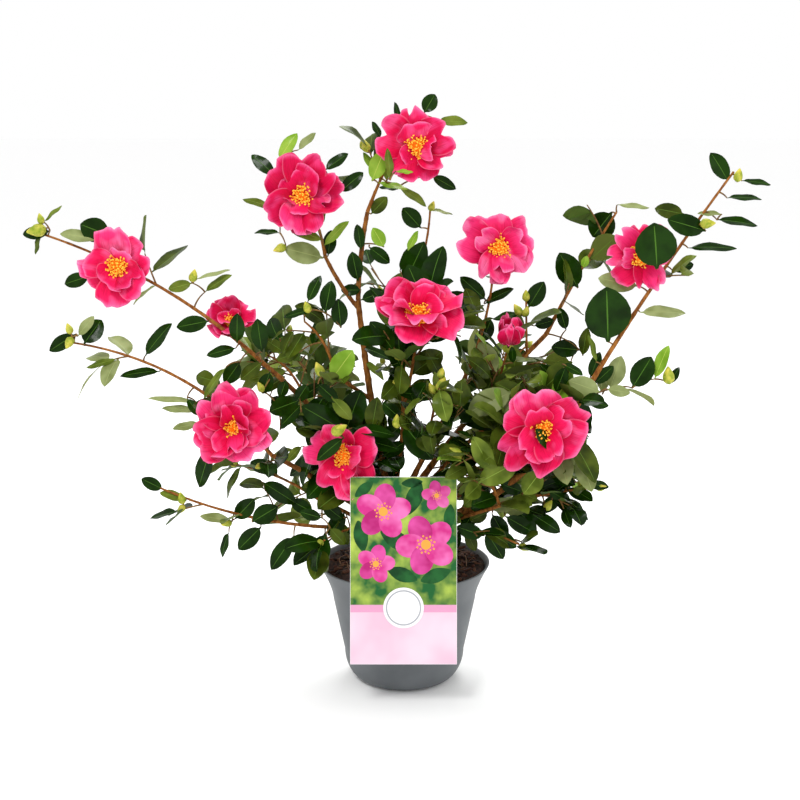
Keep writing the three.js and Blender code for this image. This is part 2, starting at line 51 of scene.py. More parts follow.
pot = {
    "height": 0.12,
    "rimRadius": 0.085,
    "shoulderHeight": 0.084,
    "shoulderRadius": 0.071,
    "cornerHeight": 0.03,
    "cornerRadius": 0.06,
    "baseRadius": 0.04,
    "wall": 0.0022,
    "flarePower": 1.5,
    "sides": 96,
    "cornerSteps": 12,
    "flareSteps": 12,
    "rimRound": 0.0008,
    "rimAboveSoil": 0.01,
}
soilTop = pot["height"] - pot["rimAboveSoil"]
card = {
    "width": 0.1,
    "length": 0.1755,
    "aboveRim": 0.1055,
    "thickness": 0.0008,
    "lean": 12,
    "centre": -0.001,
}
cardBack = pot["rimRadius"] + gap

trunk = {
    "start": (-0.004, 0),
    "turn": 160,
    "lift": 82,
    "length": 0.06,
    "foot": 0.0085,
    "tip": 0.006,
    "flare": 0.0045,
    "flareLength": 0.007,
}

# name, what carries it, where along that, turn, lift, length, bow, sway, radius at foot and tip
boughRows = [
    ("leader", "trunk", 1, 171, 81, 0.213, 0, 0.014, 0.0042, 0.0029),
    ("leader_top", "leader", 1, 24, 83, 0.085, 0.002, 0, 0.0028, 0.0023),
    ("upper_left", "leader", 0.96, -170, 58, 0.061, -0.002, 0, 0.0024, 0.002),
    ("left_high", "trunk", 0.78, -170, 53, 0.205, 0.01, -0.004, 0.0038, 0.0025),
    ("left_mid", "trunk", 0.5, -161, 38, 0.159, 0.006, 0, 0.0036, 0.0024),
    ("left_low", "trunk", 0.28, -154, 27, 0.082, 0.006, 0, 0.0029, 0.0022),
    ("inner_left", "leader", 0.55, -150, 36, 0.05, 0, 0, 0.0023, 0.0018),
    ("centre", "trunk", 0.97, -67, 74, 0.122, 0, 0, 0.003, 0.0023),
    ("high_thin", "centre", 0.75, 83, 78, 0.125, 0.004, 0, 0.002, 0.0016),
    ("right_top", "trunk", 0.98, 10, 62, 0.166, 0, -0.006, 0.0032, 0.0022),
    ("right_inner", "trunk", 0.88, 9, 50, 0.237, 0.008, -0.006, 0.0036, 0.0025),
    ("bud_pair", "right_inner", 0.8, -55, 44, 0.029, 0, 0, 0.0017, 0.0014),
    ("right_high", "trunk", 0.6, -23, 40, 0.246, -0.026, -0.006, 0.004, 0.003),
    ("right_front", "trunk", 0.42, -23, 37, 0.149, 0.008, 0, 0.0029, 0.0021),
    ("right_low", "trunk", 0.26, -20, 31, 0.105, 0.008, 0, 0.0029, 0.0022),
    ("front_right", "right_low", 0.6, -48, 24, 0.079, 0, 0, 0.0022, 0.0018),
    ("front_left", "trunk", 0.55, -127, 53, 0.078, 0.008, 0, 0.0027, 0.0021),
    ("centre_front", "trunk", 0.7, -58, 59, 0.106, 0, 0, 0.0025, 0.0019),
    ("centre_right", "trunk", 0.76, -9, 49, 0.14, 0.004, 0, 0.0027, 0.002),
    ("left_inner", "left_high", 0.52, 134, 32, 0.056, 0, 0, 0.0024, 0.0019),
    ("back_left", "trunk", 0.7, 128, 42, 0.125, 0.008, 0, 0.0034, 0.0023),
    ("back_centre", "trunk", 0.9, 84, 58, 0.13, 0.006, 0.006, 0.0032, 0.0023),
    ("back_right", "trunk", 0.62, 44, 44, 0.13, 0.008, 0, 0.0034, 0.0023),
    ("back_low_left", "trunk", 0.32, 152, 24, 0.095, 0.006, 0, 0.0028, 0.0021),
    ("back_low_right", "trunk", 0.36, 18, 24, 0.095, 0.006, 0, 0.0028, 0.0021),
]

# name, turn, lift, length, bow and sway of its stem, twigs, length of a twig, spacing of the leaves along the stem
massRows = [
    ("top", -13, 65, 0.064, 0, -0.006, 5, 0.046, 0.02),
    ("upper_left", -171, 70, 0.079, 0.004, 0, 5, 0.046, 0.022),
    ("left_high", -173, 32, 0.245, 0.014, 0, 7, 0.034, 0.026),
    ("left_mid", -180, 30, 0.219, 0.022, 0, 6, 0.038, 0.026),
    ("left_low", -175, 15, 0.167, -0.008, 0, 6, 0.04, 0.026),
    ("inner_left", -156, 61, 0.059, 0.006, 0, 5, 0.05, 0.024),
    ("left_inner", 143, 39, 0.063, 0.008, 0, 6, 0.054, 0.024),
    ("centre", -69, 68, 0.095, 0, 0, 6, 0.048, 0.024),
    ("high_thin", 32, 73, 0.094, -0.006, 0, 3, 0.03, 0.026),
    ("right_top", -6, 78, 0.104, -0.004, 0, 6, 0.046, 0.026),
    ("right_inner", 3, 61, 0.136, 0.002, 0, 6, 0.046, 0.026),
    ("bud_pair", -110, 83, 0.05, 0, 0, 4, 0.038, 0.02),
    ("right_high", 5, 57, 0.24, 0.002, 0.004, 8, 0.04, 0.026),
    ("right_front", -39, 61, 0.079, 0.006, 0, 6, 0.052, 0.024),
    ("right_low", -5, 14, 0.108, 0.004, 0, 6, 0.046, 0.024),
    ("front_right", -141, 65, 0.067, 0, 0, 5, 0.046, 0.022),
    ("front_left", -163, 63, 0.06, 0.004, 0, 6, 0.044, 0.022),
    ("under_right", -26, 14, 0.132, 0.022, 0, 6, 0.042, 0.024),
    ("under_left", -139, 23, 0.104, 0.022, 0, 6, 0.042, 0.024),
    ("centre_front", -70, 64, 0.087, 0, 0, 6, 0.048, 0.022),
    ("centre_right", -47, 73, 0.083, 0, 0, 6, 0.048, 0.024),
    ("back_left", 132, 40, 0.12, 0.008, 0, 8, 0.058, 0.028),
    ("back_centre", 95, 55, 0.12, 0.006, 0, 8, 0.058, 0.028),
    ("back_right", 40, 40, 0.12, 0.008, 0, 8, 0.058, 0.028),
    ("back_low_left", 160, 18, 0.1, 0.006, 0, 6, 0.05, 0.026),
    ("back_low_right", 12, 18, 0.1, 0.006, 0, 6, 0.05, 0.026),
]
# what carries a stem and where along that, if not the tip of the bough of the same name
massFeet = {"top": ("leader_top", 1), "under_right": ("trunk", 0.2), "under_left": ("trunk", 0.15)}

# mass, where along its stem, turn, lift and length of the stalk, turn and lift of the way the
# bloom looks, width, depth of the cup as a share of the width
bloomRows = [
    ("top", 1, -43, 6, 0.027, -95, 10, 0.074, 0.14),
    ("upper_left", 0.8, -91, -5, 0.021, -88, 5, 0.075, 0.14),
    ("left_high", 0.68, -75, 1, 0.023, -105, 5, 0.071, 0.14),
    ("left_high", 0.21, 70, 10, 0.019, -100, 40, 0.052, 0.3),
    ("left_mid", 0.2, -91, -1, 0.029, -90, 10, 0.078, 0.16),
    ("centre", 1, -94, 12, 0.017, -90, 40, 0.08, 0.2),
    ("right_top", 1, -84, 46, 0.02, -85, 10, 0.075, 0.12),
    ("right_high", 0.55, 169, 34, 0.025, -100, 0, 0.067, 0.14),
    ("right_front", 0.95, -103, -25, 0.031, -90, 5, 0.089, 0.12),
    ("front_left", 0.7, -125, -25, 0.008, -95, 0, 0.074, 0.13),
    ("centre_right", 1, -92, 30, 0.007, -90, 65, 0.034, 0.7),
]

# --- small tools


def makeRandom(seed):
    times, plus, size = 1664525, 1013904223, 4294967296
    state = seed

    def draw(low, high):
        nonlocal state
        state = (state * times + plus) % size
        return low + (high - low) * state / size

    return draw


def unit(vector):
    return vector / np.linalg.norm(vector)


def polar(turn, lift):  # unit vector from a turn about Z and a lift above the ground
    a, e = math.radians(turn), math.radians(lift)
    return np.array([math.cos(e) * math.cos(a), math.cos(e) * math.sin(a), math.sin(e)])


def turnOf(direction):
    return math.degrees(math.atan2(direction[1], direction[0]))


def liftOf(direction):
    return math.degrees(math.asin(max(-1, min(1, direction[2]))))


def turnedAbout(vector, axis, angle):
    a = math.radians(angle)
    return vector * math.cos(a) + np.cross(axis, vector) * math.sin(a) + axis * axis.dot(vector) * (1 - math.cos(a))


def paint(code):  # a colour written as six hex digits, made linear
    values = [int(code[i : i + 2], 16) / 255 for i in (0, 2, 4)]
    return (*[v / 12.92 if v <= 0.04045 else ((v + 0.055) / 1.055) ** 2.4 for v in values], 1)


class Stem:  # a straight run with an even bow, thick at its foot and thin at its tip
    carrier, leafy = None, False  # what a twig grows on, and if it bears leaves
    fall = 1  # below 1 it thins soon after its foot

    def __init__(self, start, turn, lift, length, bow=0, sway=0, foot=0.001, tip=0.001, flare=0):
        self.start = np.array(start, float)
        self.along = polar(turn, lift)
        self.side = polar(turn + 90, 0)
        self.front = np.cross(self.along, self.side)
        self.bend = polar(turn, lift + 90) * bow + self.side * sway
        self.length, self.foot, self.tip, self.flare = length, foot, tip, flare

    def point(self, t):
        t = np.asarray(t, float)[..., None]
        return self.start + self.along * self.length * t + self.bend * 4 * t * (1 - t)

    def tangent(self, t):
        return unit(self.along * self.length + self.bend * (4 - 8 * t))

    def radius(self, t):
        spread = self.flare * np.exp(-t * self.length / trunk["flareLength"])
        return self.foot + (self.tip - self.foot) * t**self.fall + spread


def leaving(stem, t, roll, angle):  # the direction that leaves a stem at an angle to it
    a, r = math.radians(angle), math.radians(roll)
    outward = stem.side * math.cos(r) + stem.front * math.sin(r)
    return unit(stem.tangent(t) * math.cos(a) + outward * math.sin(a))


def distances(points, starts, ends):  # of each point to each line
    run = ends - starts
    offset = points[:, None] - starts[None]
    t = np.clip((offset * run).sum(2) / (run * run).sum(1), 0, 1)
    return np.linalg.norm(offset - t[..., None] * run, axis=2)


# --- finishes


def makeFinish(name, base, roughness, specular=None, **sockets):
    finish = bpy.data.materials.new(name)
    finish.use_nodes = True
    shader = finish.node_tree.nodes["Principled BSDF"]
    if specular is not None:
        sockets["Specular IOR Level"] = specular
    for socket, value in {"Base Color": paint(base), "Roughness": roughness, **sockets}.items():
        shader.inputs[socket].default_value = value
    return finish


def addNode(tree, kind, **values):  # each value goes to an input of the node or to one of its settings
    node = tree.nodes.new(kind)
    for key, value in values.items():
        if key in node.inputs:
            node.inputs[key].default_value = value
        else:
            setattr(node, key, value)
    return node


def connect(tree, *ways):  # a node, its output, the next node, its input
    for first, output, second, socket in ways:
        tree.links.new(first.outputs[output], second.inputs[socket])


def makeMottleGroup():  # two colours mixed by a noise, and the noise itself as a height
    group = bpy.data.node_groups.new("mottle", "ShaderNodeTree")
    taken = {"Vector": "Vector", "Scale": "Float", "Detail": "Float", "Low": "Float", "High": "Float"}
    taken |= {"Dark": "Color", "Light": "Color"}
    for way, sockets in (("INPUT", taken), ("OUTPUT", {"Color": "Color", "Height": "Float"})):
        for name, kind in sockets.items():
            group.interface.new_socket(name, in_out=way, socket_type=f"NodeSocket{kind}")
    start, end = addNode(group, "NodeGroupInput"), addNode(group, "NodeGroupOutput")
    speckle, spread = addNode(group, "ShaderNodeTexNoise"), addNode(group, "ShaderNodeMapRange")
    blend = addNode(group, "ShaderNodeMix", data_type="RGBA")
    connect(
        group,
        *[(start, name, speckle, name) for name in ("Vector", "Scale", "Detail")],
        (speckle, "Fac", spread, "Value"), (start, "Low", spread, "From Min"), (start, "High", spread, "From Max"),
        (spread, "Result", blend, "Factor"), (start, "Dark", blend, "A"), (start, "Light", blend, "B"),
        (blend, "Result", end, "Color"), (speckle, "Fac", end, "Height"),
    )
    return group


mottleGroup = makeMottleGroup()


def makeMottled(
    name, base, roughness, dark, light, scale,
    low=0.35, high=0.65, detail=4, stretch=(1, 1, 1), bump=0, depth=0.001, **sockets
):  # goes from a darker to a lighter colour by a noise
    finish = makeFinish(name, base, roughness, **sockets)
    tree = finish.node_tree
    shader = tree.nodes["Principled BSDF"]
    place = addNode(tree, "ShaderNodeTexCoord")
    stretched = addNode(tree, "ShaderNodeMapping", Scale=stretch)
    values = {"Scale": scale, "Detail": detail, "Low": low, "High": high, "Dark": paint(dark), "Light": paint(light)}
    mottle = addNode(tree, "ShaderNodeGroup", node_tree=mottleGroup, **values)
    connect(
        tree, (place, "Object", stretched, "Vector"), (stretched, "Vector", mottle, "Vector"),
        (mottle, "Color", shader, "Base Color"),
    )
    if bump:
        relief = addNode(tree, "ShaderNodeBump", Strength=bump, Distance=depth)
        connect(tree, (mottle, "Height", relief, "Height"), (relief, "Normal", shader, "Normal"))
    return finish


# --- making pieces


mergeDistance = 1e-5


def toMesh(bm, name):
    mesh = bpy.data.meshes.new(name)
    bm.to_mesh(mesh)
    bm.free()
    return mesh


def addObject(name, data):
    added = bpy.data.objects.new(name, data)
    bpy.context.scene.collection.objects.link(added)
    return added


def addPiece(mesh, name, finishes, replaced=(), smooth=True):
    piece = addObject(name, mesh)
    for finish in finishes:
        mesh.materials.append(finish)
    if smooth:
        mesh.shade_smooth()
    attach(piece, "root")
    if replaced:
        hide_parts(*replaced)


def coordinates(mesh):
    values = np.empty(len(mesh.vertices) * 3, np.float32)
    mesh.vertices.foreach_get("co", values)
    return values.reshape(-1, 3).astype(float)


def joined(template, placed, finishOf=None):  # one mesh with a copy of the template for each set of points
    def read(items, name, width=1, kind=np.int32):
        values = np.empty(len(items) * width, kind)
        items.foreach_get(name, values)
        return values

    count = len(placed)
    each = np.arange(count)[:, None]
    mesh = bpy.data.meshes.new(template.name)
    sizes = {kind: len(getattr(template, kind)) for kind in ("vertices", "edges", "loops", "polygons")}
    for kind, size in sizes.items():
        getattr(mesh, kind).add(count * size)
    mesh.vertices.foreach_set("co", np.concatenate(placed).astype(np.float32).ravel())
    for kind, key, width, counted in (
        ("edges", "vertices", 2, "vertices"), ("loops", "vertex_index", 1, "vertices"),
        ("loops", "edge_index", 1, "edges"), ("polygons", "loop_start", 1, "loops"),
    ):
        values = read(getattr(template, kind), key, width) + each * sizes[counted]
        getattr(mesh, kind).foreach_set(key, values.ravel())
    kinds = read(template.polygons, "material_index") + each * 0
    if finishOf is not None:
        kinds = kinds + np.array(finishOf, np.int32)[:, None]
    mesh.polygons.foreach_set("material_index", kinds.astype(np.int32).ravel())
    sharp = template.attributes.get("sharp_edge")
    if sharp:
        values = read(sharp.data, "value", kind=bool)
        mesh.attributes.new("sharp_edge", "BOOLEAN", "EDGE").data.foreach_set("value", np.tile(values, count))
    if template.uv_layers:
        values = read(template.uv_layers[0].uv, "vector", 2, np.float32)
        mesh.uv_layers.new(name="UVMap").uv.foreach_set("vector", np.tile(values, count))
    mesh.update()
    return mesh


def tubeTemplate(sides, steps):  # x and y are on a unit circle, z runs from 0 to 1
    bm = bmesh.new()
    bmesh.ops.create_grid(bm, x_segments=steps, y_segments=sides, size=1)
    for vert in bm.verts:
        run, angle = (vert.co.x + 1) / 2, math.pi * vert.co.y
        vert.co = (math.cos(angle), math.sin(angle), run)
    bmesh.ops.remove_doubles(bm, verts=bm.verts, dist=mergeDistance)
    rims = [edge for edge in bm.edges if edge.is_boundary]
    bmesh.ops.holes_fill(bm, edges=rims, sides=0)
    bmesh.ops.recalc_face_normals(bm, faces=bm.faces)
    for edge in rims:
        edge.smooth = False
    return toMesh(bm, "tube")


def tubePoints(template, stem, relief=None, size=1):  # of a tube along a stem
    x, y, t = coordinates(template).T
    radius = stem.radius(t)
    if relief is not None:
        radius = radius * (size * (1 + relief(np.arctan2(y, x), t * stem.length)))
    ring = stem.side * x[:, None] + stem.front * y[:, None]
    return stem.point(t) + ring * radius[:, None]


# a closed thin sheet: x is the run, y the side from -1 to 1, z its upper or lower skin
def sheetTemplate(runs, columns, ribColumn=None):
    bm = bmesh.new()
    bmesh.ops.create_grid(bm, x_segments=len(runs) - 1, y_segments=len(columns) - 1, size=1)
    for vert in bm.verts:
        i = round((vert.co.x + 1) / 2 * (len(runs) - 1))
        j = round((vert.co.y + 1) / 2 * (len(columns) - 1))
        inside = 0 < i < len(runs) - 1 and 0 < j < len(columns) - 1
        vert.co = (runs[i], columns[j], 1 if inside else 0)
    copied = bmesh.ops.duplicate(bm, geom=list(bm.faces))["geom"]
    lower = [item for item in copied if isinstance(item, bmesh.types.BMFace)]
    for vert in {vert for face in lower for vert in face.verts}:
        vert.co.z = -vert.co.z
    bmesh.ops.reverse_faces(bm, faces=lower)
    layer = bm.loops.layers.uv.new("UVMap")
    for face in bm.faces:
        middle = face.calc_center_median()
        isRib = ribColumn is not None and columns[ribColumn] < middle.y < columns[ribColumn + 1]
        face.material_index = 1 if isRib and middle.x < runs[-2] else 0
        for loop in face.loops:
            loop[layer].uv = (loop.vert.co.x, (loop.vert.co.y + 1) / 2)
    for face in lower:
        face.material_index = 2 if ribColumn is not None and face.material_index == 0 else face.material_index
    bmesh.ops.remove_doubles(bm, verts=bm.verts, dist=mergeDistance)
    for edge in bm.edges:
        edge.smooth = any(abs(vert.co.z) > 0.5 for vert in edge.verts)
    return toMesh(bm, "sheet")


def lathe(profile, sides):
    bm = bmesh.new()
    verts = [bm.verts.new((radius, 0, height)) for radius, height in profile]
    for first, second in zip(verts, verts[1:]):
        bm.edges.new((first, second))
    bmesh.ops.spin(
        bm, geom=[*bm.verts, *bm.edges], cent=(0, 0, 0), axis=(0, 0, 1), angle=math.tau, steps=sides, use_merge=True
    )
    bmesh.ops.remove_doubles(bm, verts=bm.verts, dist=mergeDistance)
    bmesh.ops.recalc_face_normals(bm, faces=bm.faces)
    return bm


# --- camera, light and floor

cameraRow = {"place": (-0.0043, -1.3, 0.556), "pitch": 11.84, "lens": 61.4, "sensor": 36}
lightRows = [  # name, place, size, power
    ("key", (-0.65, -1.6, 1.9), 0.45, 21),
    ("fill", (1.6, -1.2, 1.1), 1.8, 7),
    ("back", (0.25, 1.1, 1.75), 0.9, 24),
]
lightAim = (0, 0, 0.3)
roomLight = {"colour": "ffffff", "strength": 1}
floorSize = 30


def setStage():
    scene = bpy.context.scene
    camera = addObject("camera", bpy.data.cameras.new("camera"))
    camera.data.lens, camera.data.sensor_width = cameraRow["lens"], cameraRow["sensor"]
    camera.location = cameraRow["place"]
    camera.rotation_euler = (math.radians(90 - cameraRow["pitch"]), 0, 0)
    scene.camera = camera
    for name, place, size, power in lightRows:
        light = addObject(name, bpy.data.lights.new(name, "AREA"))
        light.data.size, light.data.energy = size, power
        light.location = place
        aim = Vector(lightAim) - Vector(place)
        light.rotation_euler = aim.to_track_quat("-Z", "Y").to_euler()
    scene.world = scene.world or bpy.data.worlds.new("studio")
    scene.world.use_nodes = True
    background = scene.world.node_tree.nodes["Background"]
    background.inputs["Color"].default_value = paint(roomLight["colour"])
    background.inputs["Strength"].default_value = roomLight["strength"]
    scene.view_settings.view_transform = "Standard"
    bm = bmesh.new()
    bmesh.ops.create_grid(bm, x_segments=1, y_segments=1, size=floorSize)
    bmesh.ops.translate(bm, verts=bm.verts, vec=(0, 0, -gap))
    floor = addObject("floor", toMesh(bm, "floor"))
    floor.data.materials.append(makeFinish("paleFloor", "fefefe", 0.9))


setStage()
print("stage set")

# --- pot


def potFace(inset, top):  # outer face from the flat base to a height, set in by a distance
    points = []
    for i in range(pot["cornerSteps"] + 1):
        a = i / pot["cornerSteps"] * math.pi / 2
        radius = pot["baseRadius"] + (pot["cornerRadius"] - pot["baseRadius"]) * math.sin(a)
        height = pot["cornerHeight"] * (1 - math.cos(a))
        points.append((radius - inset * math.sin(a), height + inset * math.cos(a)))

    def flare(height):
        share = (height - pot["shoulderHeight"]) / (pot["height"] - pot["shoulderHeight"])
        return pot["shoulderRadius"] + (pot["rimRadius"] - pot["shoulderRadius"]) * share ** pot["flarePower"]

    for i in range(pot["flareSteps"] + 1):
        height = pot["shoulderHeight"] + i / pot["flareSteps"] * (pot["height"] - pot["shoulderHeight"])
        if height < top:
            points.append((flare(height) - inset, height))
    points.append((flare(top) - inset, top))
    return points


def makePot():
    outer = potFace(0, pot["height"] - pot["rimRound"])
    inner = potFace(pot["wall"], pot["height"] - pot["rimRound"])[::-1]
    rim = [
        (pot["rimRadius"] - pot["rimRound"] / 3, pot["height"]),
        (pot["rimRadius"] - pot["wall"] + pot["rimRound"] / 3, pot["height"]),
    ]
    bm = lathe([(0, 0), *outer, *rim, *inner, (0, pot["wall"])], pot["sides"])
    finish = makeMottled(
        "greyPlastic", "5b5f62", 0.5, "575b5e", "606467", 30, bump=0.05, depth=0.0004, specular=0.3
    )
    addPiece(toMesh(bm, "pot"), "grower_pot", [finish], ["pot"])


makePot()

# --- soil

soilBed = {
    "rings": 26,
    "sides": 90,
    "swell": 0.0024,
    "grain": 150,
    "lift": 0.3,  # share of the swell
    "rise": 0.006,  # heaped above the trunk's foot
}
bedTop = soilTop + soilBed["rise"]
chipRow = {
    "count": 520,
    "seed": 5,
    "length": (0.004, 0.012),
    "width": (0.0018, 0.004),
    "height": (0.001, 0.0025),
    "bevel": 0.12,
    "tilt": 30,
    "ragged": 0.25,
    "ridges": 9,
    "shift": 9,
    "finishes": (("chipDark", "2b1610"), ("chipRed", "4d2718"), ("chipBrown", "5f3a26")),
}
fibreRow = {
    "count": 70,
    "seed": 11,
    "length": (0.01, 0.034),
    "radius": 0.00028,
    "bow": 0.001,
    "sway": 0.004,
    "above": 0.0022,
    "sides": 4,
    "steps": 8,
}


def soilHeight(x, y):
    grain = soilBed["grain"]
    swell = noise.noise(Vector((x, y, 0)) * grain) + noise.noise(Vector((x, y, 1)) * grain / 3)
    return bedTop + soilBed["swell"] * (soilBed["lift"] + swell)


def makeSoil():
    inset = pot["wall"] + gap
    edge = potFace(inset, bedTop)
    reach = edge[-1][0]
    rings = [(reach * (1 - i / soilBed["rings"]), bedTop) for i in range(1, soilBed["rings"])]
    bm = lathe([(0, inset), *edge, *rings, (0, bedTop)], soilBed["sides"])
    for vert in bm.verts:
        if vert.co.z > bedTop - gap and math.hypot(vert.co.x, vert.co.y) < reach - gap:
            vert.co.z = soilHeight(vert.co.x, vert.co.y)
    finish = makeMottled("pottingSoil", "2a160e", 0.95, "180b07", "44261a", 420, bump=0.6, depth=0.0015)
    addPiece(toMesh(bm, "soil"), "potting_soil", [finish], ["soil"])
    return reach


def onSoil(draw, reach):
    a, r = draw(0, math.tau), reach * math.sqrt(draw(0, 1))
    return r * math.cos(a), r * math.sin(a)


def makeChips(reach):
    bm = bmesh.new()
    bmesh.ops.create_cube(bm, size=1)
    bmesh.ops.bevel(
        bm, geom=list(bm.edges), offset=chipRow["bevel"], affect="EDGES", segments=1, profile=0.5, material=-1
    )
    template = toMesh(bm, "chip")
    shape = coordinates(template)
    draw = makeRandom(chipRow["seed"])
    placed, shades = [], []
    for _ in range(chipRow["count"]):
        x, y = onSoil(draw, reach - chipRow["length"][1] / 2)
        size = [draw(*chipRow[key]) for key in ("length", "width", "height")]
        turn = Matrix.Rotation(draw(0, math.tau), 3, "Z")
        tilt = math.radians(chipRow["tilt"])
        turn = turn @ Matrix.Rotation(draw(-tilt, tilt), 3, "X") @ Matrix.Rotation(draw(-tilt, tilt), 3, "Y")
        height = soilHeight(x, y) + size[2] / 4
        ridges = np.sin(shape * chipRow["ridges"] + draw(0, chipRow["shift"]))[:, [1, 2, 0]]
        ragged = shape * size * (1 + chipRow["ragged"] * ridges)
        placed.append(ragged @ np.array(turn).T + (x, y, height))
        shades.append(int(draw(0, len(chipRow["finishes"]))))
    finishes = [makeFinish(name, base, 0.9) for name, base in chipRow["finishes"]]
    addPiece(joined(template, placed, shades), "bark_chips", finishes, smooth=False)


def makeFibres(reach):
    template = tubeTemplate(fibreRow["sides"], fibreRow["steps"])
    draw = makeRandom(fibreRow["seed"])
    placed = []
    for _ in range(fibreRow["count"]):
        x, y = onSoil(draw, reach - fibreRow["length"][1] / 2)
        length, sway = draw(*fibreRow["length"]), draw(-1, 1) * fibreRow["sway"]
        middle = np.array((x, y, soilHeight(x, y) + fibreRow["above"]))
        way = polar(draw(0, 360), 0)
        radius = fibreRow["radius"]
        fibre = Stem(middle - way * length / 2, turnOf(way), 0, length, fibreRow["bow"], sway, radius, radius)
        placed.append(tubePoints(template, fibre))
    addPiece(joined(template, placed), "soil_fibres", [makeFinish("strawFibre", "9a7350", 0.8)])


reach = makeSoil()
makeChips(reach)
makeFibres(reach)
print("pot and soil made")

# --- card

cardPrint = {
    "film": 0.00006,
    "pictureFoot": -0.0143,
    "bandFoot": -0.0213,
    "margin": 0.0003,
    "rounds": ((5, 0.019, "white"), (6, 0.0166, "grey"), (7, 0.0152, "white")),  # layer, radius, ink
    "roundelAt": -0.0171,
    "roundelSides": 64,
    "leafShape": 4.4,  # length to half its width
    "leafPoint": 0.45,
    "edge": 0.00015,
}
# centre across and along the card, radius, turn of a printed flower
printedFlowers = [
    (-0.019, 0.073, 0.026, 12), (0.021, 0.042, 0.028, 40), (-0.026, 0.024, 0.018, 5), (0.031, 0.088, 0.014, 28),
]
flowerForm = {  # shares of the radius
    "petals": 5,
    "petalAt": 0.52,
    "petalSize": (0.5, 0.4),
    "heart": 0.17,
    "dots": 16,
    "dotSides": 8,
    "dotSize": 0.035,
    "dotsAt": (0.23, 0.3),
}
# centre, length, turn of a printed leaf
printedLeaves = [
    (0.01, 0.086, 0.034, 70), (-0.006, 0.046, 0.036, 150), (-0.04, 0.05, 0.03, 100), (0.03, 0.013, 0.03, 20),
    (-0.001, 0.014, 0.03, -20), (0.043, 0.068, 0.024, 84), (-0.037, 0.094, 0.022, 40), (0.008, 0.1, 0.02, 5),
]
inkNames = ("picture", "band", "wash", "leaf", "pink", "rose", "yellow", "white", "grey")
ink = {name: index for index, name in enumerate(inkNames)}  # which finish of the print


def onCard(bm):  # from across, proud and along to the leaning card
    lean = Matrix.Rotation(-math.radians(card["lean"]), 3, "X")
    bmesh.ops.rotate(bm, verts=bm.verts, cent=(0, 0, 0), matrix=lean)
    bmesh.ops.translate(bm, verts=bm.verts, vec=(0, -cardBack, pot["height"]))


def addFilm(bm, made, layer, finish):  # a printed shape: faces in the x-z plane get a thickness
    faces = list({face for vert in made for face in vert.link_faces})
    for face in faces:
        face.material_index = finish
    grown = bmesh.ops.extrude_face_region(bm, geom=faces)["geom"]
    verts = [item for item in grown if isinstance(item, bmesh.types.BMVert)]
    bmesh.ops.translate(bm, verts=verts, vec=(0, -cardPrint["film"], 0))
    foot = {vert for face in faces if face.is_valid for vert in face.verts} | set(verts)
    for vert in foot:
        vert.co.y -= card["thickness"] + layer * cardPrint["film"]


upright = Matrix.Rotation(math.pi / 2, 4, "X")


def addBlade(bm, centre, size, turn, layer, finish, sides=20, point=0):
    place = Matrix.Translation((card["centre"] + centre[0], 0, centre[1]))
    turned = Matrix.Rotation(-math.radians(turn), 4, "Y")
    scaled = Matrix.Diagonal((size[0], 1, size[1], 1))
    made = bmesh.ops.create_circle(bm, cap_ends=True, segments=sides, radius=1, matrix=upright)["verts"]
    for vert in made:
        vert.co.z *= 1 - point * abs(vert.co.x) ** 2
    bmesh.ops.transform(bm, matrix=place @ turned @ scaled, verts=made)
    addFilm(bm, made, layer, finish)


def addPanel(bm, low, high, layer, finish):
    half = card["width"] / 2 - cardPrint["margin"]
    place = Matrix.Translation((card["centre"], 0, (low + high) / 2))
    scaled = Matrix.Diagonal((half, 1, (high - low) / 2, 1))
    made = bmesh.ops.create_grid(bm, x_segments=1, y_segments=1, size=1, matrix=place @ scaled @ upright)["verts"]
    addFilm(bm, made, layer, finish)


def printFlower(bm, x, z, radius, turn):
    def addDisc(degrees, away, size, facing, layer, finish, **form):
        a = math.radians(degrees)
        addBlade(bm, (x + math.cos(a) * away, z + math.sin(a) * away), size, facing, layer, finish, **form)

    wide, high = flowerForm["petalSize"]
    for k in range(flowerForm["petals"]):
        angle = turn + k * 360 / flowerForm["petals"]
        size = (radius * wide, radius * high)
        addDisc(angle, radius * flowerForm["petalAt"], size, angle, 2 + k * 0.5, ink["rose" if k % 2 else "pink"])
    addDisc(0, 0, (radius * flowerForm["heart"],) * 2, 0, 5, ink["yellow"])
    for k in range(flowerForm["dots"]):
        away = radius * flowerForm["dotsAt"][k % 2]
        angle = k * 360 / flowerForm["dots"] + turn
        size = (radius * flowerForm["dotSize"],) * 2
        addDisc(angle, away, size, 0, 5, ink["yellow"], sides=flowerForm["dotSides"])


def makeCard():
    bm = bmesh.new()
    size = (card["width"], card["thickness"], card["length"])
    bmesh.ops.create_cube(bm, size=1, matrix=Matrix.Diagonal((*size, 1)))
    middle = (card["centre"], -card["thickness"] / 2, card["aboveRim"] - card["length"] / 2)
    bmesh.ops.translate(bm, verts=bm.verts, vec=middle)
    bmesh.ops.bevel(
        bm, geom=list(bm.edges), offset=cardPrint["edge"], affect="EDGES", segments=2, profile=0.5, material=-1
    )
    onCard(bm)
    finish = makeFinish("whiteCard", "f5eff2", 0.4)
    addPiece(toMesh(bm, "card"), "card_body", [finish], ["label_card"], smooth=False)


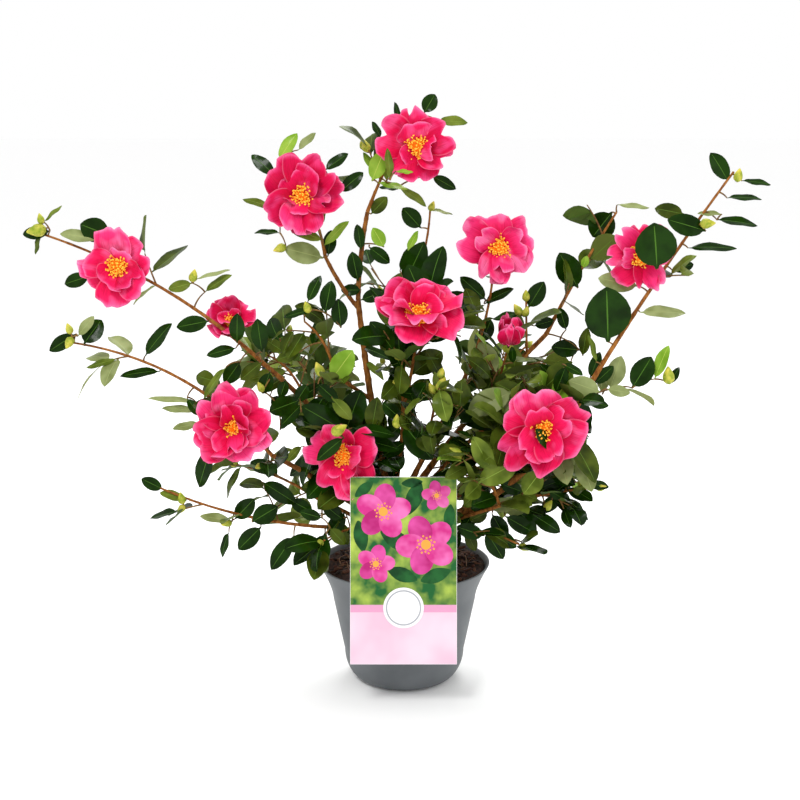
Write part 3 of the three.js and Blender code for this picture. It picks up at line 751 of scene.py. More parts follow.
def makePrint():
    bm = bmesh.new()
    top = card["aboveRim"] - cardPrint["margin"]
    foot = card["aboveRim"] - card["length"] + cardPrint["margin"]
    addPanel(bm, cardPrint["pictureFoot"], top, 0, ink["picture"])
    addPanel(bm, cardPrint["bandFoot"], cardPrint["pictureFoot"], 0, ink["band"])
    addPanel(bm, foot, cardPrint["bandFoot"], 0, ink["wash"])
    for x, z, length, turn in printedLeaves:
        size = (length / 2, length / cardPrint["leafShape"])
        addBlade(bm, (x, z), size, turn, 1, ink["leaf"], point=cardPrint["leafPoint"])
    for row in printedFlowers:
        printFlower(bm, *row)
    at, sides = (0, cardPrint["roundelAt"]), cardPrint["roundelSides"]
    for layer, radius, name in cardPrint["rounds"]:
        addBlade(bm, at, (radius, radius), 0, layer, ink[name], sides=sides)
    bmesh.ops.recalc_face_normals(bm, faces=bm.faces)
    onCard(bm)
    flat = {"specular": 0.15}
    finishes = [  # in the order of inkNames
        makeMottled("printedFoliage", "4d7a3a", 0.4, "1d5a2c", "a9be50", 46, low=0.4, high=0.7, detail=3, **flat),
        makeFinish("printedBand", "d493b4", 0.45),
        makeMottled("printedPalePink", "dcbdcc", 0.45, "d8b4c7", "e1c8d5", 24, detail=2, **flat),
        makeMottled("printedLeaf", "15461f", 0.4, "0f3a1a", "205a2a", 90, detail=2, **flat),
        makeMottled("printedPink", "cf4596", 0.4, "c4307f", "e070b0", 60, detail=2, **flat),
        makeMottled("printedRose", "bf3083", 0.4, "a81e68", "d04c98", 60, detail=2, **flat),
        makeFinish("printedYellow", "e09a34", 0.4),
        makeFinish("printedWhite", "ece9ea", 0.4),
        makeFinish("printedGrey", "9da1a6", 0.4),
    ]
    addPiece(toMesh(bm, "print"), "card_print", finishes, smooth=False)


def dressTongue():
    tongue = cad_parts["label_tongue"]
    tongue.data.materials.clear()
    tongue.data.materials.append(makeMottled("tonguePlastic", "efe9e6", 0.45, "ece5e2", "f3eeeb", 60))


makeCard()
makePrint()
dressTongue()
print("card made")

# --- trunk and boughs

trunkForm = {key: trunk[key] for key in ("turn", "lift", "length", "foot", "tip", "flare")}
stems = {"trunk": Stem((*trunk["start"], soilTop + gap), **trunkForm)}
for name, carrier, at, turn, lift, length, bow, sway, foot, tip in boughRows:
    stems[name] = Stem(stems[carrier].point(at), turn, lift, length, bow, sway, foot, tip)

stemRadius = {"foot": 0.0021, "tip": 0.001, "fall": 0.6}
limbSize = 0.9  # thickness of the bark beside the solid's
stalkRadius = 0.0013
closedCup = 0.5  # a bloom with a deeper cup is half closed
lineSteps = 6


class Mass:
    def __init__(self, index, row):
        name, turn, lift, length, bow, sway, twigs, spread, step = row
        carrier, at = massFeet.get(name, (name, 1))
        self.name, self.index, self.twigCount, self.spread, self.step = name, index, twigs, spread, step
        foot = stems[carrier].tip if at == 1 else stemRadius["foot"]
        start = stems[carrier].point(at)
        self.stem = Stem(start, turn, lift, length, bow, sway, foot * limbSize, stemRadius["tip"])
        self.stem.fall = stemRadius["fall"]
        self.blooms, self.twigs = [], []


class Bloom:
    def __init__(self, mass, row):
        _, at, turn, lift, length, faceTurn, faceLift, self.width, self.cup = row
        self.mass, self.at = mass, at
        self.stalk = Stem(mass.stem.point(at), turn, lift, length, foot=stalkRadius, tip=stalkRadius)
        self.centre = self.stalk.point(1)
        self.face = polar(faceTurn, faceLift)
        self.right = polar(turnOf(self.face) + 90, 0)
        self.rise = np.cross(self.face, self.right)
        self.closed = self.cup > closedCup

    def outward(self, turn):  # from its middle, in its own plane
        a = math.radians(turn)
        return self.right * math.cos(a) + self.rise * math.sin(a)


masses = [Mass(index, row) for index, row in enumerate(massRows)]
blooms = []
for row in bloomRows:
    mass = next(mass for mass in masses if mass.name == row[0])
    bloom = Bloom(mass, row)
    mass.blooms.append(bloom)
    blooms.append(bloom)

barkRow = {
    "trunkSides": 28,
    "trunkSteps": 60,
    "sides": 10,
    "steps": 56,
    "seed": 17,
    "node": 0.014,  # spacing of the leaf scars
    "firstScar": (0.2, 1),  # shares of the spacing
    "scarSpread": (-0.3, 0.3),
    "scar": 0.0011,
    "scarSwell": 0.16,
    "ripple": 0.05,
    "ripples": ((2, 240), (3, -410)),  # times round the stem, and along it
    "ridge": 0.085,
    "furrows": 7,
    "weave": 2.2,
    "weaveAlong": 130,
}


def barkRelief(draw, length, ridge):
    node = barkRow["node"]
    scars = np.arange(draw(*barkRow["firstScar"]) * node, length, node)
    scars = scars + np.array([draw(*barkRow["scarSpread"]) * node for _ in scars])
    phase = [draw(0, math.tau) for _ in range(4)]

    def relief(angle, run):
        swell = sum((np.exp(-(((run - scar) / barkRow["scar"]) ** 2)) for scar in scars), 0 * run)
        ripples = zip(barkRow["ripples"], phase)
        ripple = sum(np.sin(times * angle + run * along + shift) for (times, along), shift in ripples)
        weave = barkRow["weave"] * np.sin(run * barkRow["weaveAlong"] + phase[2])
        furrow = np.sin(barkRow["furrows"] * angle + weave + phase[3])
        return barkRow["scarSwell"] * swell + barkRow["ripple"] * ripple / 2 + ridge * furrow

    return relief


def makeBark():
    draw = makeRandom(barkRow["seed"])
    template = tubeTemplate(barkRow["trunkSides"], barkRow["trunkSteps"])
    points = tubePoints(template, stems["trunk"], barkRelief(draw, trunk["length"], barkRow["ridge"]))
    points[:, 2] = np.maximum(points[:, 2], soilTop + gap)
    finish = makeMottled(
        "trunkBark", "6b4a35", 0.85, "46301f", "8a664a", 260, stretch=(1, 1, 0.35), bump=0.7, depth=0.0012
    )
    addPiece(joined(template, [points]), "trunk_bark", [finish], ["trunk"])

    template = tubeTemplate(barkRow["sides"], barkRow["steps"])
    placed = []
    for name, *_ in boughRows:
        relief = barkRelief(draw, stems[name].length, barkRow["ridge"] / 3)
        placed.append(tubePoints(template, stems[name], relief, limbSize))
    along = {"stretch": (1, 1, 0.4), "specular": 0.1}
    finish = makeMottled("boughBark", "804a26", 0.75, "5c3414", "945f2a", 300, bump=0.5, depth=0.0008, **along)
    addPiece(joined(template, placed), "boughs_bark", [finish], [f"bough_{row[0]}" for row in boughRows])
    reliefs = [(mass.stem, barkRelief(draw, mass.stem.length, barkRow["ridge"] / 4)) for mass in masses]
    placed = [tubePoints(template, stem, relief) for stem, relief in reliefs]
    finish = makeMottled("stemBark", "8a5228", 0.7, "693a16", "9c652c", 340, bump=0.4, depth=0.0006, **along)
    addPiece(joined(template, placed), "stems_bark", [finish])


makeBark()
print("trunk, boughs and stems made")

# --- where twigs and leaves may grow

spaceMargin = 0.001
limbMargin = 0.0015
potMargin = 0.004
lowestLeaf = 0.119
bloomView = {"turn": -90, "lift": 12, "behind": 0.008, "share": 0.42}

lineStart, lineEnd, firstLine = [], [], []
for mass in masses:
    firstLine.append(len(lineStart))
    points = mass.stem.point(np.linspace(0, 1, lineSteps + 1))
    lineStart += list(points[:-1])
    lineEnd += list(points[1:])
    for bloom in mass.blooms:
        lineStart.append(bloom.stalk.point(0))
        lineEnd.append(bloom.stalk.point(1))
lineStart, lineEnd = np.array(lineStart), np.array(lineEnd)

bloomCentres = np.array([bloom.centre for bloom in blooms])
bloomWidths = np.array([bloom.width for bloom in blooms])
viewWay = polar(bloomView["turn"], bloomView["lift"])


def inOwnSpace(points, index):
    byMass = np.minimum.reduceat(distances(points, lineStart, lineEnd), firstLine, axis=1)
    toBlooms = np.linalg.norm(points[:, None] - bloomCentres, axis=2) - bloomWidths / 2
    for k, bloom in enumerate(blooms):
        owner = bloom.mass.index
        byMass[:, owner] = np.minimum(byMass[:, owner], toBlooms[:, k])
    own = byMass[:, index].copy()
    byMass[:, index] = np.inf
    return bool((byMass.min(1) > own + spaceMargin).all())


def clearOfPot(points):
    x, y, z = points.T
    fromAxis = np.hypot(x, y)
    offPot = (z > pot["height"] + potMargin) | (fromAxis > pot["rimRadius"] + potMargin)
    beside = abs(x - card["centre"]) > card["width"] / 2 + potMargin
    behind = y > -cardBack + (z - pot["height"]) * math.tan(math.radians(card["lean"])) + potMargin
    higher = z > pot["height"] + card["aboveRim"] + potMargin
    return bool((offPot & (z > lowestLeaf) & (beside | behind | higher)).all())


def clearOfBlooms(points):
    offset = points[:, None] - bloomCentres
    forward = offset @ viewWay
    aside = np.linalg.norm(offset - forward[..., None] * viewWay, axis=2)
    return bool(((forward < -bloomView["behind"]) | (aside > bloomWidths * bloomView["share"])).all())


viewPixels = 800  # width and height of the camera's view
pitch = math.radians(cameraRow["pitch"])
ahead = np.array([0, math.cos(pitch), -math.sin(pitch)])
above = np.array([0, math.sin(pitch), math.cos(pitch)])
focal = cameraRow["lens"] / cameraRow["sensor"] * viewPixels


def inView(points):  # across, down and how far ahead
    offset = points - np.array(cameraRow["place"])
    away = offset @ ahead
    return viewPixels / 2 + focal * offset[..., 0] / away, viewPixels / 2 - focal * (offset @ above) / away, away


openings = [  # left, top, right and bottom of gaps in the crown, in pixels of the camera's view
    (332, 326, 356, 347), (363, 345, 386, 362), (364, 376, 386, 397), (286, 378, 302, 394), (406, 362, 419, 379),
    (418, 406, 440, 420), (290, 432, 308, 450), (405, 458, 438, 476), (347, 300, 356, 324),
    (364, 296, 378, 312), (290, 313, 312, 330), (464, 322, 477, 340), (484, 290, 524, 312), (494, 318, 500, 336),
    (530, 330, 542, 357), (444, 345, 456, 358), (452, 365, 460, 384),
]
# x and z of the corners of spaces that stay open
skies = [
    (0.178, 0, 0.4, 0.236), (0.262, 0.3, 0.4, 0.432), (0.1, 0.478, 0.24, 0.6), (-0.4, 0, -0.19, 0.175),
    (0.05, 0, 0.4, 0.15), (0.13, 0, 0.4, 0.174), (-0.068, 0, -0.044, 0.162), (0.052, 0, 0.078, 0.162),
    (0.1, 0.385, 0.15, 0.44),
]
heart = np.array([(-0.13, -0.1, 0.132), (0.17, 0.16, 0.31)])  # where shoots on the boughs fill the middle
reachMargin = 0.004
corners = [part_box(f"foliage_{mass.name}") for mass in masses]
lowCorners = np.array([low for low, _ in corners]) - reachMargin
highCorners = np.array([high for _, high in corners]) + reachMargin


def withinReach(points, index):  # of the mass's own solid or the middle of the crown
    x, _, z = points.T
    if any(((x > left) & (z > low) & (x < right) & (z < high)).any() for left, low, right, high in skies):
        return False
    across, down, _ = inView(points)
    for left, top, right, bottom in openings:
        if ((across > left) & (down > top) & (across < right) & (down < bottom)).any():
            return False
    inHeart = ((points > heart[0]) & (points < heart[1])).all()
    return bool(inHeart or ((points > lowCorners[index]) & (points < highCorners[index])).all())


class Wood:  # the lines of limbs and twigs, which leaves keep clear of
    starts, ends, radii = [], [], []
    lines = None

    @classmethod
    def add(cls, stem, steps):
        points = stem.point(np.linspace(0, 1, steps + 1))
        cls.starts += list(points[:-1])
        cls.ends += list(points[1:])
        cls.radii += [stem.radius(0.5)] * steps
        cls.lines = None

    @classmethod
    def isClear(cls, points, margin):
        if cls.lines is None:
            cls.lines = np.array(cls.starts), np.array(cls.ends), np.array(cls.radii)
        starts, ends, radii = cls.lines
        return bool((distances(points, starts, ends) - radii > margin).all())


for stem in stems.values():
    Wood.add(stem, lineSteps)


def isFree(points, index):
    return withinReach(points, index) and clearOfPot(points) and clearOfBlooms(points) and inOwnSpace(points, index)


# --- twigs

seeds = {"first": 211, "step": 37}
goldenAngle = 137.5
tries = 9
twigRadius = {"foot": 0.00095, "tip": 0.0006}
twigMesh = {"sides": 6, "steps": 6}
twigRule = {
    "times": 1.75,  # twigs for each one of the solid
    "angle": (38, 62),
    "upward": 0.12,
    "length": (0.8, 1.15),
    "shorterAtTip": 0.3,
    "shorterPerTry": 0.09,
    "rollPerTry": 67,
    "onStem": (0.08, 0.96),  # places of the first and the last
    "bow": (-0.05, 0.09),  # share of the length
    "seat": 0.3,  # share of the carrier's radius
    "tested": (0.4, 0.7, 1),
}
sideTwigRule = {
    "places": (0.4, 0.68),
    "length": (0.45, 0.62),
    "angle": (35, 55),
    "fullness": 0.4,  # masses below it have none
}
fullness = {  # share of the twigs and leaves of the rule that a mass has, where that isn't 1
    "left_high": 0.12, "left_mid": 0.18, "left_low": 0.16, "right_high": 0.1, "high_thin": 0.12, "upper_left": 0.16,
    "top": 0.16, "right_low": 0.55, "right_inner": 0.24, "right_top": 0.22, "under_left": 0.38, "under_right": 0.42,
    "inner_left": 0.24, "left_inner": 0.42, "back_low_left": 0.36, "back_low_right": 0.5, "bud_pair": 0.36,
    "back_left": 0.7, "back_centre": 0.75, "back_right": 0.75, "front_left": 1.8, "front_right": 1.5,
    "centre_front": 1.8, "centre": 0.9, "right_front": 1.3, "centre_right": 0.85,
}
for mass in masses:
    mass.fullness = fullness.get(mass.name, 1)
thinTop = {"above": 0.31, "kept": 0.2}  # of the masses behind
shootRule = {
    "spacing": 0.018,
    "clearFoot": 0.03,
    "length": (0.03, 0.046),
    "angle": 50,
    "seed": 901,
    "bare": ("leader", "leader_top", "upper_left", "left_low", "right_low", "high_thin"),
}


def growTwig(carrier, mass, t, roll, length, angle, draw):
    for attempt in range(tries):
        heading = leaving(carrier, t, roll + attempt * twigRule["rollPerTry"], draw(*angle))
        heading = unit(heading + (0, 0, twigRule["upward"]))
        ownLength = length * (1 - attempt * twigRule["shorterPerTry"]) * draw(*twigRule["length"])
        bow = ownLength * draw(*twigRule["bow"])
        start = carrier.point(t) - heading * carrier.radius(t) * twigRule["seat"]
        twig = Stem(start, turnOf(heading), liftOf(heading), ownLength, bow, 0, **twigRadius)
        points = twig.point(twigRule["tested"])
        if isFree(points, mass.index) and Wood.isClear(points, limbMargin):
            Wood.add(twig, 1)
            mass.twigs.append(twig)
            twig.carrier = carrier
            return twig


def placeOn(span, j, count):  # of one of a count, evenly spread
    first, last = span
    return first + (last - first) * (j + 0.5) / count


def growTwigs(mass):
    draw = makeRandom(seeds["first"] + mass.index * seeds["step"])
    mass.firstRoll = draw(0, 360)
    count = round(mass.twigCount * twigRule["times"] * mass.fullness)
    for j in range(count):
        t = placeOn(twigRule["onStem"], j, count)
        length = mass.spread * (1 - twigRule["shorterAtTip"] * t)
        twig = growTwig(mass.stem, mass, t, mass.firstRoll + j * goldenAngle, length, twigRule["angle"], draw)
        if twig is None:
            continue
        firstRoll = draw(0, 360)
        for k, place in enumerate(sideTwigRule["places"] if mass.fullness > sideTwigRule["fullness"] else ()):
            share = draw(*sideTwigRule["length"])
            growTwig(twig, mass, place, firstRoll + k * 180, twig.length * share, sideTwigRule["angle"], draw)


def nearestMass(point):
    byMass = np.minimum.reduceat(distances(point[None], lineStart, lineEnd), firstLine, axis=1)
    return masses[int(byMass[0].argmin())]


def growShoots():  # short leafy shoots along the boughs, which fill the middle of the crown
    draw = makeRandom(shootRule["seed"])
    for name, *_ in boughRows:
        bough = stems[name]
        count = int((bough.length - shootRule["clearFoot"]) / shootRule["spacing"])
        firstRoll = draw(0, 360)
        for k in range(0 if name in shootRule["bare"] else max(count, 0)):
            t = (shootRule["clearFoot"] + (k + 0.5) * shootRule["spacing"]) / bough.length
            roll = firstRoll + k * goldenAngle
            length = draw(*shootRule["length"])
            mass = nearestMass(bough.point(t) + leaving(bough, t, roll, shootRule["angle"]) * length / 2)
            growTwig(bough, mass, t, roll, length, twigRule["angle"], draw)


for mass in masses:
    Wood.add(mass.stem, lineSteps)
    for bloom in mass.blooms:
        Wood.add(bloom.stalk, 1)
for mass in masses:
    growTwigs(mass)
growShoots()
print("twigs grown:", sum(len(mass.twigs) for mass in masses))

# --- leaves

leafForm = {
    "length": 0.041,
    "width": (0.48, 0.62),  # share of the length
    "thickness": 0.00042,
    "runs": (0, 0.075, 0.13, 0.21, 0.32, 0.46, 0.6, 0.74, 0.85, 0.93, 1),
    "columns": (-1, -0.5, -0.032, 0.032, 0.5, 1),
    "rib": 2,
    "stalk": 0.07,  # share of the width
    "stalkTaper": 0.4,
    "bladeFrom": 0.07,
    "bladeLength": 0.93,
    "fullest": 0.92,
    "rounding": (0.55, 0.1),
    "curl": (-5, 42),
    "fold": (0.08, 0.36),
    "twist": (-16, 16),
    "phase": (0, math.tau),
    "wave": 0.0006,
    "waves": 11,
}
leafRule = {
    "pitch": 0.0115,
    "sideAngle": 52,
    "endAngle": 14,
    "angleSpread": (-10, 10),
    "roll": (-48, 48),
    "length": (0.74, 1.14),
    "shorterPerTry": 0.05,
    "rollPerTry": 53,
    "onTwig": (0.22, 0.92),  # places of the first and the last
    "droop": 0.22,
    "outward": 0.55,
    "behindAxis": 0.05,  # the leaves look away from a line this far behind the trunk
    "sideways": 0.4,  # share that x has in where they look
    "flattest": 0.2,
    "apart": 0.0062,
    "offWood": 0.0005,
    "seat": 0.5,
    "places": (0.3, 0.5, 0.75, 0.98),  # along a leaf, where it has to be clear
    "kept": 3,  # of these, that later leaves keep away from
    "stemStep": 0.6,  # of the step of the solid's leaves
    # leaves at the end of a stem; masses below its fullness have none
    "crown": {"leaves": 3, "turn": 120, "angle": 12, "fullness": 0.3},
}
# kind of leaf: share, darker and lighter green of the upper side, rib, underside, size, roughness
leafKinds = {
    "dark": (0.36, "0e2302", "193506", "446a20", "445a20", 1, 0.24),
    "deep": (0.28, "2b380a", "4a5816", "5a772a", "566428", 1, 0.26),
    "mid": (0.2, "475816", "6b7b2c", "788f38", "6c7a30", 0.95, 0.28),
    "olive": (0.1, "707a46", "909a66", "939e62", "868f50", 0.95, 0.34),
    "young": (0.06, "6c9424", "8cb03e", "aec254", "9bae46", 0.72, 0.32),
}
youngMasses = {"over": 0.55, "names": ("top", "upper_left")}
deepMasses = {
    "share": 0.74,
    "names": ("centre", "centre_front", "front_left", "left_inner", "under_left", "under_right"),
}
leafSize = {  # of masses whose leaves are larger
    "centre": 1.12, "centre_front": 1.15, "centre_right": 1.12, "front_left": 1.15, "front_right": 1.15,
    "right_front": 1.15, "under_left": 1.1, "under_right": 1.1, "left_inner": 1.1,
}
leaves = {kind: [] for kind in leafKinds}
leafPlaceShares = np.array(leafRule["places"])[:, None]
leafPlaces = np.empty((0, 3))
buds = []


def pickKind(draw, mass):
    value = draw(0, 1)
    if mass.name in youngMasses["names"] and value > youngMasses["over"]:
        return "young"
    if mass.name in deepMasses["names"]:
        value *= deepMasses["share"]
    for kind, (share, *_) in leafKinds.items():
        if value < share:
            return kind
        value -= share
    return "dark"


def leafFace(root, along, roll):  # the upper side looks up and away from the crown's middle
    away = np.array([root[0] * leafRule["sideways"], root[1] - leafRule["behindAxis"], 0])
    light = np.array([0, 0, 1.0]) + unit(away) * leafRule["outward"]
    face = light - along * light.dot(along)
    if np.linalg.norm(face) < leafRule["flattest"]:
        face = np.cross(along, (1.0, 0, 0))
    return turnedAbout(unit(face), along, roll)


def addLeaf(mass, stem, t, roll, angle, kind, draw):
    global leafPlaces
    length = leafForm["length"] * draw(*leafRule["length"]) * leafKinds[kind][5] * leafSize.get(mass.name, 1)
    if mass.name.startswith("back") and stem.point(t)[2] > thinTop["above"] and draw(0, 1) > thinTop["kept"]:
        return
    for attempt in range(tries):
        tilt = angle + draw(*leafRule["angleSpread"])
        along = leaving(stem, t, roll + attempt * leafRule["rollPerTry"], tilt)
        along = unit(along - (0, 0, leafRule["droop"]))
        root = stem.point(t) + along * stem.radius(t) * leafRule["seat"]
        face = leafFace(root, along, draw(*leafRule["roll"]))
        ownLength = length * (1 - attempt * leafRule["shorterPerTry"])
        across = np.cross(face, along) * ownLength / 4
        line = root + along * ownLength * leafPlaceShares
        points = np.concatenate([line, line[1:2] + across, line[1:2] - across])
        if not isFree(points, mass.index) or not Wood.isClear(points[1:], leafRule["offWood"]):
            continue
        if len(leafPlaces) and np.linalg.norm(leafPlaces[:, None] - points, axis=2).min() < leafRule["apart"]:
            continue
        leafPlaces = np.concatenate([leafPlaces, points[: leafRule["kept"]]])
        while stem is not None:
            stem.leafy = True
            stem = stem.carrier
        keepLeaf(kind, root, along, face, ownLength, ownLength * draw(*leafForm["width"]), leafForm, draw)
        return


def keepLeaf(kind, root, along, face, length, width, form, draw):
    leaf = {"root": root, "along": along, "face": face, "length": length, "width": width}
    for key in ("curl", "fold", "twist", "phase"):
        leaf[key] = draw(*form[key])
    leaves[kind].append(leaf)


budShare = 0.045
budSize = (0.008, 0.0115)


def growLeaves(mass):
    draw = makeRandom(seeds["first"] * 3 + mass.index * seeds["step"])
    run = leafRule["onTwig"][1] - leafRule["onTwig"][0]
    sideAngle, endAngle = leafRule["sideAngle"], leafRule["endAngle"]
    for twig in mass.twigs:
        kind = pickKind(draw, mass)
        firstRoll = draw(0, 360)
        count = max(1, round(twig.length * run / leafRule["pitch"]))
        for k in range(count):
            place = placeOn(leafRule["onTwig"], k, count)
            addLeaf(mass, twig, place, firstRoll + k * goldenAngle, sideAngle, kind, draw)
        addLeaf(mass, twig, 1, firstRoll, endAngle, kind, draw)
        if draw(0, 1) < budShare and twig.leafy:
            buds.append((twig.point(1), twig.tangent(1), draw(*budSize)))
    stem = mass.stem
    run = twigRule["onStem"][1] - twigRule["onStem"][0]
    count = math.floor(stem.length * run / (mass.step * leafRule["stemStep"]) * mass.fullness)
    for j in range(count):
        kind = pickKind(draw, mass)
        roll = mass.firstRoll + 180 + j * goldenAngle
        addLeaf(mass, stem, placeOn(twigRule["onStem"], j, count), roll, sideAngle, kind, draw)
    crown = leafRule["crown"]
    if mass.fullness > crown["fullness"] and not any(bloom.at == 1 for bloom in mass.blooms):
        for k in range(crown["leaves"]):
            roll, angle = mass.firstRoll + k * crown["turn"], endAngle + crown["angle"] * k
            addLeaf(mass, stem, 1, roll, angle, "dark", draw)
        buds.append((stem.point(1), stem.tangent(1), budSize[1]))


